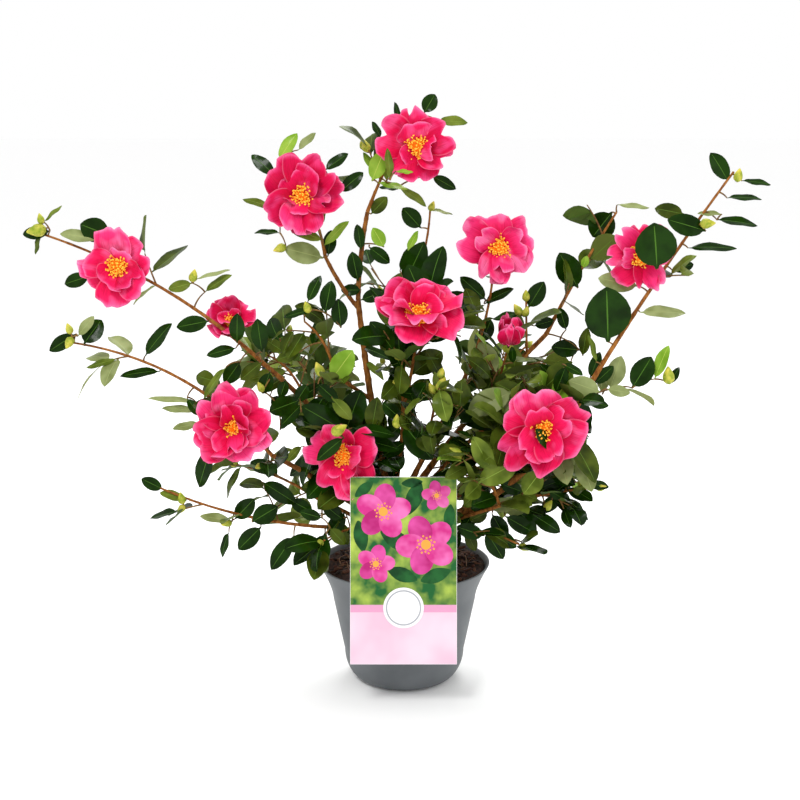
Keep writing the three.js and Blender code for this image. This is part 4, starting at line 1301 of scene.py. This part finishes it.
# leaves and buds that stand out, by the limb they grow on: root and tip across and down the view, width there,
# how far root and tip stand in front of the limb in millimetres, and the kind where it isn't dark
standingRows = {
    "foliage_left_high": [
        (237, 343, 237, 314, 16, 16, 24), (262, 352, 257, 320, 17, 14, 22), (236, 348, 206, 354, 12, 3, 8),
        (209, 321, 176, 327, 17, 3, 8), (205, 292, 230, 273, 10, 2, 4, "mid"),
        (192, 283, 168, 289, 12, 2, 6, "mid"), (196, 279, 230, 269, 5, 2, 4, "olive"),
        (192, 282, 195, 269, 10, 4, 4, "bud"), (90, 276, 63, 284, 15, -4, -4), (110, 236, 80, 224, 25, 2, 6),
        (98, 240, 60, 231, 13, 4, 8, "olive"), (50, 231, 22, 234, 14, 0, 2), (40, 234, 34, 254, 7, 0, 2, "deep"),
        (44, 222, 61, 205, 5, 0, 2, "mid"), (46, 229, 26, 232, 17, 5, 5, "bud"),
        (42, 224, 39, 213, 10, 3, 3, "bud"), (263, 392, 258, 382, 10, 14, 14, "bud"),
        (240, 362, 224, 384, 17, 4, 8), (262, 362, 240, 380, 14, 10, 14, "deep"), (270, 372, 262, 394, 15, 4, 8),
        (286, 380, 280, 398, 12, 2, 2), (300, 352, 276, 360, 13, 4, 4, "deep"),
        (284, 352, 266, 340, 13, 2, 4, "deep"),
    ],
    "foliage_left_mid": [
        (160, 371, 119, 373, 10, 2, 6), (145, 356, 169, 322, 16, 2, 4), (117, 359, 86, 367, 8, 2, 4, "mid"),
        (76, 334, 48, 351, 15, 0, 4), (84, 344, 101, 319, 21, 4, -2), (78, 336, 93, 316, 11, 6, 6, "olive"),
        (72, 337, 66, 349, 13, 8, 8, "bud"), (71, 334, 67, 323, 10, 6, 6, "bud"), (212, 447, 196, 488, 18, 10, 4),
        (226, 367, 201, 398, 9, 6, 10, "mid"), (187, 398, 200, 416, 10, 2, 2),
        (196, 402, 148, 396, 6, -4, 0, "olive"), (196, 411, 162, 406, 8, -4, 0, "olive"),
        (200, 424, 172, 427, 9, -4, 0, "olive"),
    ],
    "foliage_left_low": [
        (163, 489, 141, 479, 13, 0, 2), (186, 500, 160, 491, 9, 0, 2, "mid"), (183, 504, 180, 492, 11, 3, 3, "bud"),
        (184, 505, 178, 514, 9, 3, 3, "bud"), (232, 522, 221, 525, 13, 6, 6, "bud"),
        (232, 521, 200, 515, 9, 0, 2, "olive"), (235, 519, 254, 499, 18, 0, 0), (252, 522, 277, 507, 20, 2, 4),
        (229, 532, 219, 557, 9, 0, 4), (261, 527, 238, 550, 18, 0, 4), (294, 536, 269, 570, 18, 2, 6),
        (325, 533, 314, 567, 20, 4, 8), (262, 482, 297, 503, 17, 0, 4), (290, 500, 312, 512, 14, 0, 4),
    ],
    "foliage_right_high": [
        (608, 342, 607, 288, 47, 4, 16), (657, 269, 655, 224, 42, 22, 32), (706, 231, 669, 219, 22, 4, 8),
        (684, 214, 655, 208, 16, -6, -8, "deep"), (688, 248, 738, 244, 10, 2, 2), (672, 270, 694, 264, 12, 0, 0),
        (640, 312, 686, 311, 14, 2, 4, "olive"), (638, 286, 599, 278, 20, -4, 2, "olive"),
        (717, 220, 759, 222, 11, 0, 2), (722, 214, 698, 212, 6, 0, 2, "olive"), (727, 198, 763, 195, 8, 0, 0),
        (728, 181, 712, 152, 18, 0, 0), (742, 181, 772, 182, 7, 0, 0), (737, 182, 740, 168, 14, 3, 3, "bud"),
        (700, 224, 716, 223, 17, 8, 8, "bud"), (607, 389, 631, 393, 12, 2, 2, "olive"),
        (632, 388, 652, 357, 23, 2, 2), (655, 379, 667, 345, 11, 2, 2, "young"), (670, 384, 679, 367, 8, 0, 0),
        (669, 384, 668, 366, 17, 4, 4, "bud"), (600, 392, 570, 381, 20, 8, 14, "olive"),
    ],
    "bough_right_high": [
        (567, 400, 592, 424, 22, -6, -10), (588, 402, 609, 406, 10, -4, -4), (594, 384, 614, 366, 13, -6, -8),
        (577, 400, 556, 372, 14, -8, -10, "deep"), (590, 378, 600, 352, 12, -8, -10),
        (596, 362, 590, 334, 7, 2, 2, "mid"), (566, 366, 556, 392, 14, 6, 8), (562, 364, 584, 374, 9, 6, 8),
    ],
    "foliage_right_inner": [
        (612, 212, 592, 238, 28, -6, -10), (578, 288, 560, 253, 26, 2, 6), (583, 268, 587, 256, 8, 2, 4, "young"),
        (617, 205, 650, 206, 6, 0, 0, "olive"), (580, 350, 552, 347, 18, 0, 4), (571, 362, 548, 386, 15, 0, 4),
        (583, 356, 586, 328, 11, 6, 8, "deep"), (566, 330, 560, 308, 12, 4, 6),
    ],
    "foliage_right_top": [
        (474, 322, 452, 292, 27, 6, 12), (486, 300, 461, 277, 16, 0, 4), (484, 304, 512, 286, 10, 0, 4),
        (482, 342, 491, 320, 15, 0, 2),
    ],
    "foliage_bud_pair": [
        (528, 308, 544, 282, 18, 0, 4), (520, 313, 493, 318, 8, 0, 4), (534, 326, 554, 320, 12, 0, 0),
        (521, 315, 514, 304, 12, 5, 5, "bud"), (524, 317, 528, 306, 12, 5, 5, "bud"),
    ],
    "foliage_centre_right": [
        (513, 363, 512, 347, 8, 14, 18),
    ],
    "foliage_upper_left": [
        (275, 175, 251, 154, 14, 0, -4), (279, 160, 296, 132, 14, 0, -2, "young"),
        (298, 150, 315, 132, 9, 0, -4, "olive"), (325, 170, 348, 153, 12, 0, -4), (340, 192, 363, 172, 14, 0, 0),
        (274, 208, 243, 197, 8, 0, 0, "mid"), (280, 233, 254, 230, 7, 0, 0),
        (323, 258, 285, 248, 22, 8, 16, "olive"), (322, 241, 292, 226, 9, 18, 32, "young"),
        (324, 246, 347, 220, 10, 8, 14, "young"), (328, 256, 331, 230, 14, -4, -6),
        (286, 246, 273, 251, 11, 14, 14, "bud"),
    ],
    "foliage_top": [
        (424, 113, 435, 94, 16, -4, -8), (438, 121, 468, 121, 12, -2, -2, "mid"), (400, 128, 397, 101, 7, -2, -4),
        (381, 138, 373, 121, 7, 0, 0), (368, 152, 363, 139, 11, 4, 4, "bud"),
        (372, 181, 384, 150, 18, 6, 10, "young"), (386, 182, 391, 150, 9, 8, 14, "mid"),
        (398, 187, 428, 204, 9, 2, 4, "mid"), (432, 176, 456, 189, 12, 0, 0),
        (378, 183, 408, 187, 8, 8, 12, "young"), (371, 214, 387, 197, 14, 4, 6, "deep"),
    ],
    "bough_leader_top": [
        (361, 250, 358, 224, 11, 4, 4), (384, 247, 373, 228, 14, 2, 6, "young"), (369, 247, 390, 263, 14, 2, 4),
        (378, 187, 398, 188, 6, 2, 4), (390, 180, 389, 148, 8, 42, 44, "mid"),
        (396, 171, 413, 172, 5, 44, 46, "young"), (378, 176, 364, 152, 9, 6, 8, "young"),
        (364, 150, 362, 138, 8, 6, 6, "bud"),
    ],
    "bough_leader": [
        (358, 281, 352, 252, 16, 4, 6), (361, 290, 341, 290, 12, 4, 6), (361, 300, 385, 291, 14, 4, 6),
        (362, 347, 392, 357, 10, 2, 6), (364, 361, 386, 378, 8, 2, 4, "mid"),
    ],
    "foliage_high_thin": [
        (421, 228, 403, 208, 18, 0, 2), (408, 253, 416, 230, 8, 2, 2, "young"), (405, 283, 424, 242, 24, 2, 6),
        (400, 271, 414, 244, 11, -2, -4), (428, 209, 453, 213, 4, 0, 0, "olive"),
        (430, 211, 434, 201, 10, 3, 3, "bud"),
    ],
    "foliage_inner_left": [
        (308, 302, 319, 275, 12, 0, 0), (325, 313, 331, 281, 17, 0, 2), (341, 328, 338, 299, 17, 2, 4),
        (312, 310, 283, 316, 8, 2, 4), (309, 313, 305, 301, 11, 4, 4, "bud"),
        (332, 379, 352, 351, 24, 12, 18, "young"), (322, 376, 316, 362, 16, 16, 16, "bud"),
    ],
    "foliage_centre": [
        (400, 360, 395, 347, 12, 12, 12, "bud"),
    ],
    "foliage_centre_front": [
        (439, 392, 445, 376, 16, 8, 8, "bud"), (435, 394, 429, 383, 12, 8, 8, "bud"),
        (397, 428, 397, 414, 12, 16, 16, "bud"),
    ],
    "foliage_front_right": [
        (462, 458, 446, 448, 18, 10, 10, "bud"), (492, 471, 474, 438, 20, 14, 20, "mid"),
        (478, 483, 518, 462, 24, 14, 24, "mid"),
    ],
    "foliage_front_left": [
        (344, 438, 315, 459, 14, 24, 30), (332, 434, 347, 425, 19, 28, 28, "bud"),
        (300, 400, 268, 412, 20, -16, -20), (302, 404, 280, 426, 14, -14, -18), (324, 396, 307, 424, 20, -10, -14),
        (308, 384, 296, 402, 14, -12, -14), (352, 428, 396, 432, 12, 4, 8), (332, 398, 352, 420, 14, 2, 4, "mid"),
        (364, 440, 400, 448, 14, 0, 2), (318, 384, 338, 402, 14, 0, 2),
    ],
    "foliage_right_front": [
        (557, 452, 537, 429, 14, 52, 60), (548, 449, 562, 440, 8, 54, 58, "young"),
        (541, 471, 524, 494, 22, 40, 46, "mid"),
    ],
    "foliage_right_low": [
        (545, 510, 552, 500, 16, 10, 10, "bud"), (582, 488, 582, 474, 13, 6, 6, "bud"),
        (586, 484, 610, 486, 10, 4, 4), (552, 500, 590, 518, 15, 2, 4), (530, 513, 562, 532, 16, 2, 4),
        (512, 506, 536, 536, 20, -4, 0), (503, 500, 527, 519, 16, -2, 2), (561, 494, 541, 513, 14, -4, -2),
        (566, 488, 587, 500, 10, 0, 2), (540, 488, 562, 480, 11, 4, 6), (548, 490, 566, 500, 10, 4, 6),
    ],
    "foliage_under_left": [
        (326, 534, 313, 567, 22, 2, 6), (330, 528, 345, 545, 13, 2, 4, "deep"), (322, 518, 300, 512, 12, 2, 4),
        (345, 512, 328, 536, 16, -6, -2), (322, 503, 343, 520, 15, -6, -2),
        (338, 520, 348, 546, 14, -10, -8, "deep"),
    ],
    "foliage_under_right": [
        (505, 516, 536, 534, 16, 2, 6), (486, 531, 504, 560, 18, 8, 12), (490, 530, 517, 548, 16, 4, 8),
        (484, 536, 457, 527, 16, 10, 14), (476, 508, 462, 531, 15, -6, -2), (488, 512, 470, 521, 13, -2, 0, "deep"),
        (492, 514, 507, 540, 17, -6, -2), (466, 531, 476, 551, 12, -12, -10, "deep"),
    ],
    "bough_centre_front": [
        (403, 424, 433, 460, 26, 4, 10), (396, 392, 434, 396, 14, 2, 6), (442, 380, 427, 350, 14, 0, 2, "deep"),
        (382, 402, 401, 419, 14, 2, 4),
    ],
    "bough_left_inner": [
        (270, 396, 297, 419, 19, 2, 4), (262, 392, 284, 376, 12, 2, 4, "deep"), (300, 398, 322, 384, 13, 2, 4),
        (332, 397, 308, 428, 18, 4, 8), (276, 404, 299, 421, 12, 4, 6), (302, 446, 285, 462, 9, 0, 2, "mid"),
        (280, 430, 292, 410, 10, 0, 2),
    ],
    "bough_upper_left": [
        (322, 240, 292, 227, 12, 30, 34, "mid"), (318, 227, 325, 211, 7, 34, 36, "young"),
    ],
    "bough_right_front": [
        (498, 500, 471, 509, 16, 8, 12), (476, 501, 461, 487, 13, 8, 10), (523, 492, 501, 484, 14, 8, 10),
        (488, 512, 470, 522, 12, 4, 6),
    ],
}
standingForm = {
    "curl": (4, 18),
    "fold": (0.05, 0.2),
    "twist": (-8, 8),
    "phase": (0, math.tau),
    "bow": 0.08,
    "seat": 0.0012,
    "seed": 77,
    "steps": 40,  # of the limb, where the nearest place is looked for
    "fullWidth": 0.44,  # share of the length that a blade seen narrower turns aside to have
    "longest": 0.05,  # leaf that still turns
    "mostTurned": 42,
}
perMetre = 1000
placedTwigs = []


def nearestWood(point):
    starts, ends = np.array(Wood.starts), np.array(Wood.ends)
    run = ends - starts
    t = np.clip(((point - starts) * run).sum(1) / (run * run).sum(1), 0, 1)
    places = starts + t[:, None] * run
    return places[np.linalg.norm(places - point, axis=1).argmin()]


def seenAt(across, down, y):  # where the line of sight reaches depth y
    way = ahead + above * (viewPixels / 2 - down) / focal + np.array([(across - viewPixels / 2) / focal, 0, 0])
    place = np.array(cameraRow["place"])
    return place + way * (y - place[1]) / way[1]


def standingBlade(root, tip, width):  # its true width, and the way it faces
    length = np.linalg.norm(tip - root)
    along = (tip - root) / length
    seen = width / focal * inView(root)[2]
    full = max(seen, standingForm["fullWidth"] * length if length < standingForm["longest"] else 0)
    turn = min(math.degrees(math.acos(seen / full)), standingForm["mostTurned"])
    face = unit(viewWay - along * along.dot(viewWay))
    face = max((turnedAbout(face, along, side * turn) for side in (1, -1)), key=lambda way: way[2])
    return seen / math.cos(math.radians(turn)), face


def placeStanding(limb, row, draw):
    global leafPlaces
    across, down, tipAcross, tipDown, width, before, tipBefore, *kinds = row
    kind = kinds[0] if kinds else "dark"
    points = limb.point(np.linspace(0, 1, standingForm["steps"] + 1))
    limbAcross, limbDown, _ = inView(points)
    depth = points[np.hypot(limbAcross - across, limbDown - down).argmin()][1]
    root = seenAt(across, down, depth - before / perMetre)
    tip = seenAt(tipAcross, tipDown, depth - tipBefore / perMetre)
    foot = nearestWood(root)
    gone = np.linalg.norm(root - foot)
    if gone > standingForm["seat"]:
        way = (root - foot) / gone
        twig = Stem(foot, turnOf(way), liftOf(way), gone, gone * standingForm["bow"], 0, **twigRadius)
        Wood.add(twig, 1)
        placedTwigs.append(twig)
    length = np.linalg.norm(tip - root)
    along = (tip - root) / length
    if kind == "bud":
        buds.append((root, along, length))
        return
    trueWidth, face = standingBlade(root, tip, width)
    keepLeaf(kind, root, along, face, length, trueWidth, standingForm, draw)
    leafPlaces = np.concatenate([leafPlaces, root + (tip - root) * leafPlaceShares[: leafRule["kept"]]])


def placeLeaves():
    draw = makeRandom(standingForm["seed"])
    limbs = {f"foliage_{mass.name}": mass.stem for mass in masses}
    limbs |= {f"bough_{name}": stem for name, stem in stems.items()}
    for name, rows in standingRows.items():
        for row in rows:
            placeStanding(limbs[name], row, draw)


placeLeaves()
for mass in masses:
    growLeaves(mass)


def leafOutline(run):
    blade = np.clip((run - leafForm["bladeFrom"]) / leafForm["bladeLength"], 0, 1)
    blunt, pointed = leafForm["rounding"]
    full = np.sin(math.pi * blade ** leafForm["fullest"]) ** (blunt + pointed * blade)
    return np.maximum(full, leafForm["stalk"] * (1 - leafForm["stalkTaper"] * run))


def leafPoints(shape, leaf):
    run, aside, skin = shape.T
    across = np.cross(leaf["face"], leaf["along"])
    y = aside * leaf["width"] / 2 * leafOutline(run)
    edge = aside**2 * np.sin(run * leafForm["waves"] + leaf["phase"]) * leafForm["wave"]
    z = abs(y) * leaf["fold"] + skin * leafForm["thickness"] / 2 + edge
    twist = math.radians(leaf["twist"]) * run
    y, z = y * np.cos(twist) - z * np.sin(twist), y * np.sin(twist) + z * np.cos(twist)
    curl = math.radians(leaf["curl"] if abs(leaf["curl"]) > 1 else 1)
    x = leaf["length"] * np.sin(curl * run) / curl + z * np.sin(curl * run)
    z = leaf["length"] * (np.cos(curl * run) - 1) / curl + z * np.cos(curl * run)
    return leaf["root"] + np.outer(x, leaf["along"]) + np.outer(y, across) + np.outer(z, leaf["face"])


def makeLeaves():
    template = sheetTemplate(leafForm["runs"], leafForm["columns"], leafForm["rib"])
    shape = coordinates(template)
    gloss = {"specular": 0.03, "Coat Weight": 0.1, "Coat Roughness": 0.13}
    for kind, (_, darker, lighter, rib, under, _, roughness) in leafKinds.items():
        placed = [leafPoints(shape, leaf) for leaf in leaves[kind]]
        finishes = [
            makeMottled(f"{kind}Leaf", darker, roughness, darker, lighter, 60, detail=2, **gloss),
            makeFinish(f"{kind}Rib", rib, 0.5, specular=0.1),
            makeFinish(f"{kind}Underside", under, 0.6, specular=0.1),
        ]
        addPiece(joined(template, placed), f"leaves_{kind}", finishes)
        print("leaves of kind", kind, len(placed))


makeLeaves()


def makeTwigs():
    template = tubeTemplate(**twigMesh)
    shown = [twig for mass in masses for twig in mass.twigs if twig.leafy]
    placed = [tubePoints(template, stem) for stem in [*shown, *placedTwigs, *[bloom.stalk for bloom in blooms]]]
    finish = makeMottled("twigBark", "6f4d28", 0.65, "563a1e", "80602f", 240, specular=0.2)
    replaced = [f"foliage_{mass.name}" for mass in masses]
    addPiece(joined(template, placed), "twigs_bark", [finish], replaced)


makeTwigs()

# --- buds

budForm = {
    "sides": 10,
    "rings": 8,
    "scales": 5,
    "scaleRuns": (0, 0.3, 0.6, 0.85, 1),
    "scaleColumns": (-1, -0.5, 0, 0.5, 1),
    "scaleTip": 2.2,
    "width": 0.7,
    "widest": 0.76,  # the less, the nearer to its foot
    "blunt": 0.68,
    "narrower": 0.3,
    "wrap": 78,
    "foot": 0.02,
    "length": 0.42,  # of the first scale
    "longer": 0.1,  # each next one
    "proud": 0.035,
    "closer": 0.12,  # each next one
    "rim": 0.25,  # share of how proud it is, at its tip
    "skin": 0.012,
}
calyx = {"size": 0.016, "sunk": 0.55}


def budRadius(run):  # of a pointed egg, as a share of its length
    full = np.sin(math.pi * np.clip(run, 0, 1) ** budForm["widest"]) ** budForm["blunt"]
    return budForm["width"] / 2 * full * (1 - budForm["narrower"] * run)


def makeBudShapes():
    bm = bmesh.new()
    bmesh.ops.create_uvsphere(bm, u_segments=budForm["sides"], v_segments=budForm["rings"], radius=1)
    core = toMesh(bm, "budCore")
    x, y, z = coordinates(core).T

    def around(angle, radius, run):
        return np.stack([radius * np.cos(angle), radius * np.sin(angle), run], 1)

    run = (z + 1) / 2
    cores = around(np.arctan2(y, x), budRadius(run), run)
    scale = sheetTemplate(budForm["scaleRuns"], budForm["scaleColumns"])
    u, v, skin = coordinates(scale).T
    scales = []
    for k in range(budForm["scales"]):
        run = np.clip(budForm["foot"] + u * (budForm["length"] + budForm["longer"] * k), 0, 1)
        wrap = v * math.radians(budForm["wrap"]) * np.sqrt(np.clip(1 - u ** budForm["scaleTip"], 0, 1))
        proud = budForm["proud"] * (1 - budForm["closer"] * k) * np.maximum(budForm["rim"], 1 - u)
        radius = budRadius(run) + proud + skin * budForm["skin"]
        scales.append(around(math.radians(k * goldenAngle) + wrap, radius, run))
    return core, cores, scale, scales


def budBasis(way):
    side = unit(np.cross(way, (0.3, 0.2, 1)))
    return np.array([side, np.cross(way, side), way])


def makeBuds():
    core, cores, scale, scales = makeBudShapes()
    corePlaces, scalePlaces = [], []
    for root, way, size in buds:
        basis = budBasis(way) * size
        corePlaces.append(cores @ basis + root)
        scalePlaces += [points @ basis + root for points in scales]
    for bloom in blooms:  # the calyx behind each bloom
        basis = budBasis(bloom.face) * calyx["size"]
        foot = bloom.face * calyx["size"] * calyx["sunk"]
        scalePlaces += [points @ basis + bloom.centre - foot for points in scales]
    budGreen = makeMottled("budGreen", "b4aa30", 0.45, "9ca22a", "d2c452", 200, specular=0.15)
    scaleGreen = makeMottled("scaleGreen", "96a030", 0.45, "7c9024", "b8b448", 200, specular=0.15)
    addPiece(joined(core, corePlaces), "bud_cores", [budGreen])
    addPiece(joined(scale, scalePlaces), "bud_scales", [scaleGreen])


makeBuds()
print("leaves and buds made:", sum(len(found) for found in leaves.values()), len(buds))

# --- blooms

petalForm = {
    "runs": tuple(np.linspace(0, 1, 12)),
    "columns": tuple(np.linspace(-1, 1, 15)),
    "thickness": 0.0005,
    "claw": 0.22,
    "root": 0.06,  # share of the bloom's radius
    "step": 0.0007,  # from one petal to the next over it
    "uneven": (-0.14, 0.14),
    "roll": (-24, 24),
    "tiltSpread": (-15, 15),
    "openLean": 15,
    "cup": (-0.08, 0.2),
    "waves": (2.4, 5),
    "phase": (0, math.tau),
    "wave": (0.05, 0.15),
    "notch": (0, 0.26),
    "skew": (-0.14, 0.14),
    "folded": (-0.3, 1),
    "mainShare": 0.5,
}
# petals in the outer and the inner whorl, seed, breadth of a petal, how far it folds along its middle, main finish
bloomLooks = [
    (6, 3, 31, 1, 0.1, 0), (7, 5, 32, 0.95, 0.3, 1), (6, 4, 33, 1, 0.2, 0), (6, 3, 34, 1.12, 0.2, 0),
    (7, 6, 35, 0.95, 0.4, 0), (6, 4, 36, 1, 0.45, 0), (5, 3, 37, 1.05, 0.15, 2), (8, 1, 38, 0.66, 0.3, 2),
    (6, 4, 39, 0.95, 0.3, 0), (5, 3, 40, 1, 0.1, 0), (6, 4, 41, 1, 0.3, 0),
]
outerPetal = {"length": (0.84, 1.06), "width": (0.95, 1.28), "tilt": (46, -20), "lift": 0.0}
innerPetal = {"length": (0.52, 0.84), "width": (0.62, 0.96), "tilt": (66, 6), "lift": 0.06}
closedPetal = {"length": (1.6, 1.85), "width": (1.2, 1.55), "tilt": (50, 112), "lift": 0.0}


def petalPoints(shape, petal):
    run, aside, skin = shape.T
    # a rounded tip with a notch, a narrow claw, ripples that grow to the edge, and a fold along the middle
    tip = 1 - 0.2 * abs(aside) ** 2.4 * run - petal["notch"] * np.exp(-((aside / 0.2) ** 2)) * run**4
    along = run * tip
    half = petalForm["claw"] + (1 - petalForm["claw"]) * np.sin(np.clip(run / 0.74, 0, 1) * math.pi / 2) ** 0.85
    y = aside * petal["width"] / 2 * half * (1 - 0.1 * run**6) + petal["skew"] * petal["width"] * run**2
    wave = np.sin(aside * petal["waves"] + petal["phase"]) * run**2
    wave = wave + 0.5 * np.sin(aside * 6 + petal["phase"] * 2) * run**4
    wave = wave + 0.3 * np.sin(aside * 10 + petal["phase"] * 3) * run**7
    fold = petal["fold"] * (np.sqrt(aside**2 + 0.02) - 0.14) * run**1.5
    z = (petal["cup"] * aside**2 * run + fold) * petal["width"] + wave * petal["wave"]
    z = z + skin * petalForm["thickness"] / 2
    start, turn = math.radians(petal["tilt"][0]), math.radians(petal["tilt"][1] - petal["tilt"][0])
    angle = start + turn * along
    x = petal["length"] * (np.sin(angle) - math.sin(start)) / turn - z * np.sin(angle)
    z = petal["length"] * (math.cos(start) - np.cos(angle)) / turn + z * np.cos(angle)
    out, across, face = petal["basis"]
    return petal["root"] + np.outer(x, out) + np.outer(y, across) + np.outer(z, face)


def bloomPetals(bloom, outer, inner, seed, breadth, fold, mainShade):
    draw = makeRandom(seed)
    radius = bloom.width / 2
    lean = 0 if bloom.closed else math.degrees(math.atan(2 * bloom.cup)) - petalForm["openLean"]
    petals = []
    for count, form in ((outer, closedPetal if bloom.closed else outerPetal), (inner, innerPetal)):
        first = draw(0, 360)
        for k in range(count):
            out = bloom.outward(first + 360 * (k + draw(*petalForm["uneven"])) / count)
            face = turnedAbout(bloom.face, out, draw(*petalForm["roll"]))
            lift = bloom.face * (form["lift"] * radius + petalForm["step"] * (k % 3))
            petal = {"basis": (out, np.cross(face, out), face)}
            petal["root"] = bloom.centre + out * radius * petalForm["root"] + lift
            petal["length"] = radius * draw(*form["length"])
            petal["width"] = radius * breadth * draw(*form["width"])
            petal["tilt"] = [angle + lean + draw(*petalForm["tiltSpread"]) for angle in form["tilt"]]
            for key in ("cup", "waves", "phase", "wave", "notch", "skew"):
                petal[key] = draw(*petalForm[key])
            petal["wave"] *= radius
            petal["fold"] = 0 if bloom.closed else fold * draw(*petalForm["folded"])
            petal["shade"] = mainShade if draw(0, 1) < petalForm["mainShare"] else int(draw(0, 3))
            petals.append(petal)
    return petals


# the pale pink of the petals' rims is a painted highlight, as light catches their edges
petalRimHighlight = "f28ab0"


def makePetalFinish(name, deep, base, light, edge):
    finish = makeFinish(name, base, 0.5, specular=0.08, **{"Sheen Weight": 0.03})
    tree = finish.node_tree

    def addRange(*ends):
        return addNode(tree, "ShaderNodeMapRange", **dict(zip(("From Min", "From Max", "To Min", "To Max"), ends)))

    def addBlend(colour):  # over the colour before it
        return addNode(tree, "ShaderNodeMix", data_type="RGBA", B=paint(colour))

    place = addNode(tree, "ShaderNodeUVMap", uv_map="UVMap")
    split = addNode(tree, "ShaderNodeSeparateXYZ")
    # from a deep colour at the foot of each petal to a pale one at its tip: the petal's own pink, with painted shade
    # in the bloom's middle and painted light towards the tips
    ramp = addNode(tree, "ShaderNodeValToRGB")
    stops = ramp.color_ramp.elements
    stops[0].position, stops[0].color = 0.08, paint(deep)
    stops[1].position, stops[1].color = 1, paint(edge)
    for position, colour in ((0.42, base), (0.86, light)):
        stops.new(position).color = paint(colour)
    # broad paler patches by a noise: a painted sheen, as light on the silky petals
    spot = addNode(tree, "ShaderNodeTexCoord")
    sheenPatches = addNode(tree, "ShaderNodeTexNoise", Scale=70, Detail=1)
    sheenShare, pale = addRange(0.52, 0.7, 0, 0.6), addBlend(edge)
    stretched = addNode(tree, "ShaderNodeMapping", Scale=(1.2, 16, 1))
    veins = addNode(tree, "ShaderNodeTexNoise", Scale=2.2, Detail=3)
    soft, tint = addRange(0.36, 0.5, 0.35, 0), addBlend(deep)
    # paler along the sides and the tip of each petal: a painted highlight on its edges
    aside = addRange(0, 1, -1, 1)
    away, margin = [addNode(tree, "ShaderNodeMath", operation=kind) for kind in ("ABSOLUTE", "MAXIMUM")]
    rim, edgeHighlight = addRange(0.92, 1, 0, 0.34), addBlend(petalRimHighlight)
    connect(
        tree,
        (place, "UV", split, "Vector"), (split, "X", ramp, "Fac"),
        (spot, "Object", sheenPatches, "Vector"), (sheenPatches, "Fac", sheenShare, "Value"), (sheenShare, "Result", pale, "Factor"),
        (ramp, "Color", pale, "A"), (place, "UV", stretched, "Vector"), (stretched, "Vector", veins, "Vector"),
        (veins, "Fac", soft, "Value"), (soft, "Result", tint, "Factor"), (pale, "Result", tint, "A"),
        (split, "Y", aside, "Value"), (aside, "Result", away, 0), (away, "Value", margin, 0), (split, "X", margin, 1),
        (margin, "Value", rim, "Value"), (rim, "Result", edgeHighlight, "Factor"), (tint, "Result", edgeHighlight, "A"),
        (edgeHighlight, "Result", tree.nodes["Principled BSDF"], "Base Color"),
    )
    return finish


stamenForm = {
    "count": 130,
    "spread": 60,
    "length": (0.0095, 0.0152),
    "radius": 0.0005,
    "sides": 4,
    "steps": 4,
    "anther": (0.00135, 0.0009, 0.0009),
    "seed": 71,
    "uneven": (-4, 4),
    "bloomWidth": 0.075,  # for which the length is right
    "away": (0, 0.0022),
    "above": 0.001,
    "bow": 0.0012,
    "thickFoot": 1.3,
}


def makeBlooms():
    template = sheetTemplate(petalForm["runs"], petalForm["columns"])
    shape = coordinates(template)
    form = stamenForm
    thread = tubeTemplate(form["sides"], form["steps"])
    bm = bmesh.new()
    bmesh.ops.create_icosphere(bm, subdivisions=1, radius=1)
    anther = toMesh(bm, "anther")
    antherShape = coordinates(anther) * form["anther"]
    draw = makeRandom(form["seed"])
    petalPlaces, shades, threads, anthers = [], [], [], []
    for bloom, look in zip(blooms, bloomLooks):
        petals = bloomPetals(bloom, *look)
        petalPlaces += [petalPoints(shape, petal) for petal in petals]
        shades += [petal["shade"] for petal in petals]
        for i in range(0 if bloom.closed else form["count"]):
            spread = form["spread"] * math.sqrt((i + 0.5) / form["count"]) + draw(*form["uneven"])
            spread = math.radians(spread)
            out = bloom.outward(i * goldenAngle)
            way = bloom.face * math.cos(spread) + out * math.sin(spread)
            length = draw(*form["length"]) * bloom.width / form["bloomWidth"]
            start = bloom.centre + out * draw(*form["away"]) + bloom.face * form["above"]
            bends = [draw(-1, 1) * form["bow"] for _ in range(2)]
            foot = form["radius"] * form["thickFoot"]
            stamen = Stem(start, turnOf(way), liftOf(way), length, *bends, foot, form["radius"])
            threads.append(tubePoints(thread, stamen))
            lie = turnedAbout(unit(np.cross(way, (0.1, 0.3, 1))), way, draw(0, 360))
            basis = np.array([lie, np.cross(way, lie), way])
            anthers.append(antherShape @ basis + stamen.point(1))
    finishes = [
        makePetalFinish("petalPink", "a00028", "d0003c", "dc1656", "ea5c94"),
        makePetalFinish("petalDeep", "900020", "be0034", "cc0848", "dc4480"),
        makePetalFinish("petalBright", "a8002e", "d80c4e", "e43474", "f07aaa"),
    ]
    paintedGlow = {"Emission Color": paint("f08c1c"), "Emission Strength": 0.3}  # painted glow: the threads give off a little light of their own, which lifts them out of the shade of the petals
    gold, pollen = makeFinish("stamenThread", "f2a030", 0.5, **paintedGlow), makeFinish("stamenPollen", "fabc34", 0.6)
    addPiece(joined(template, petalPlaces, shades), "bloom_petals", finishes)
    addPiece(joined(thread, threads), "stamen_threads", [gold])
    addPiece(joined(anther, anthers), "stamen_anthers", [pollen])
    print("blooms made:", len(petalPlaces), "petals")


makeBlooms()
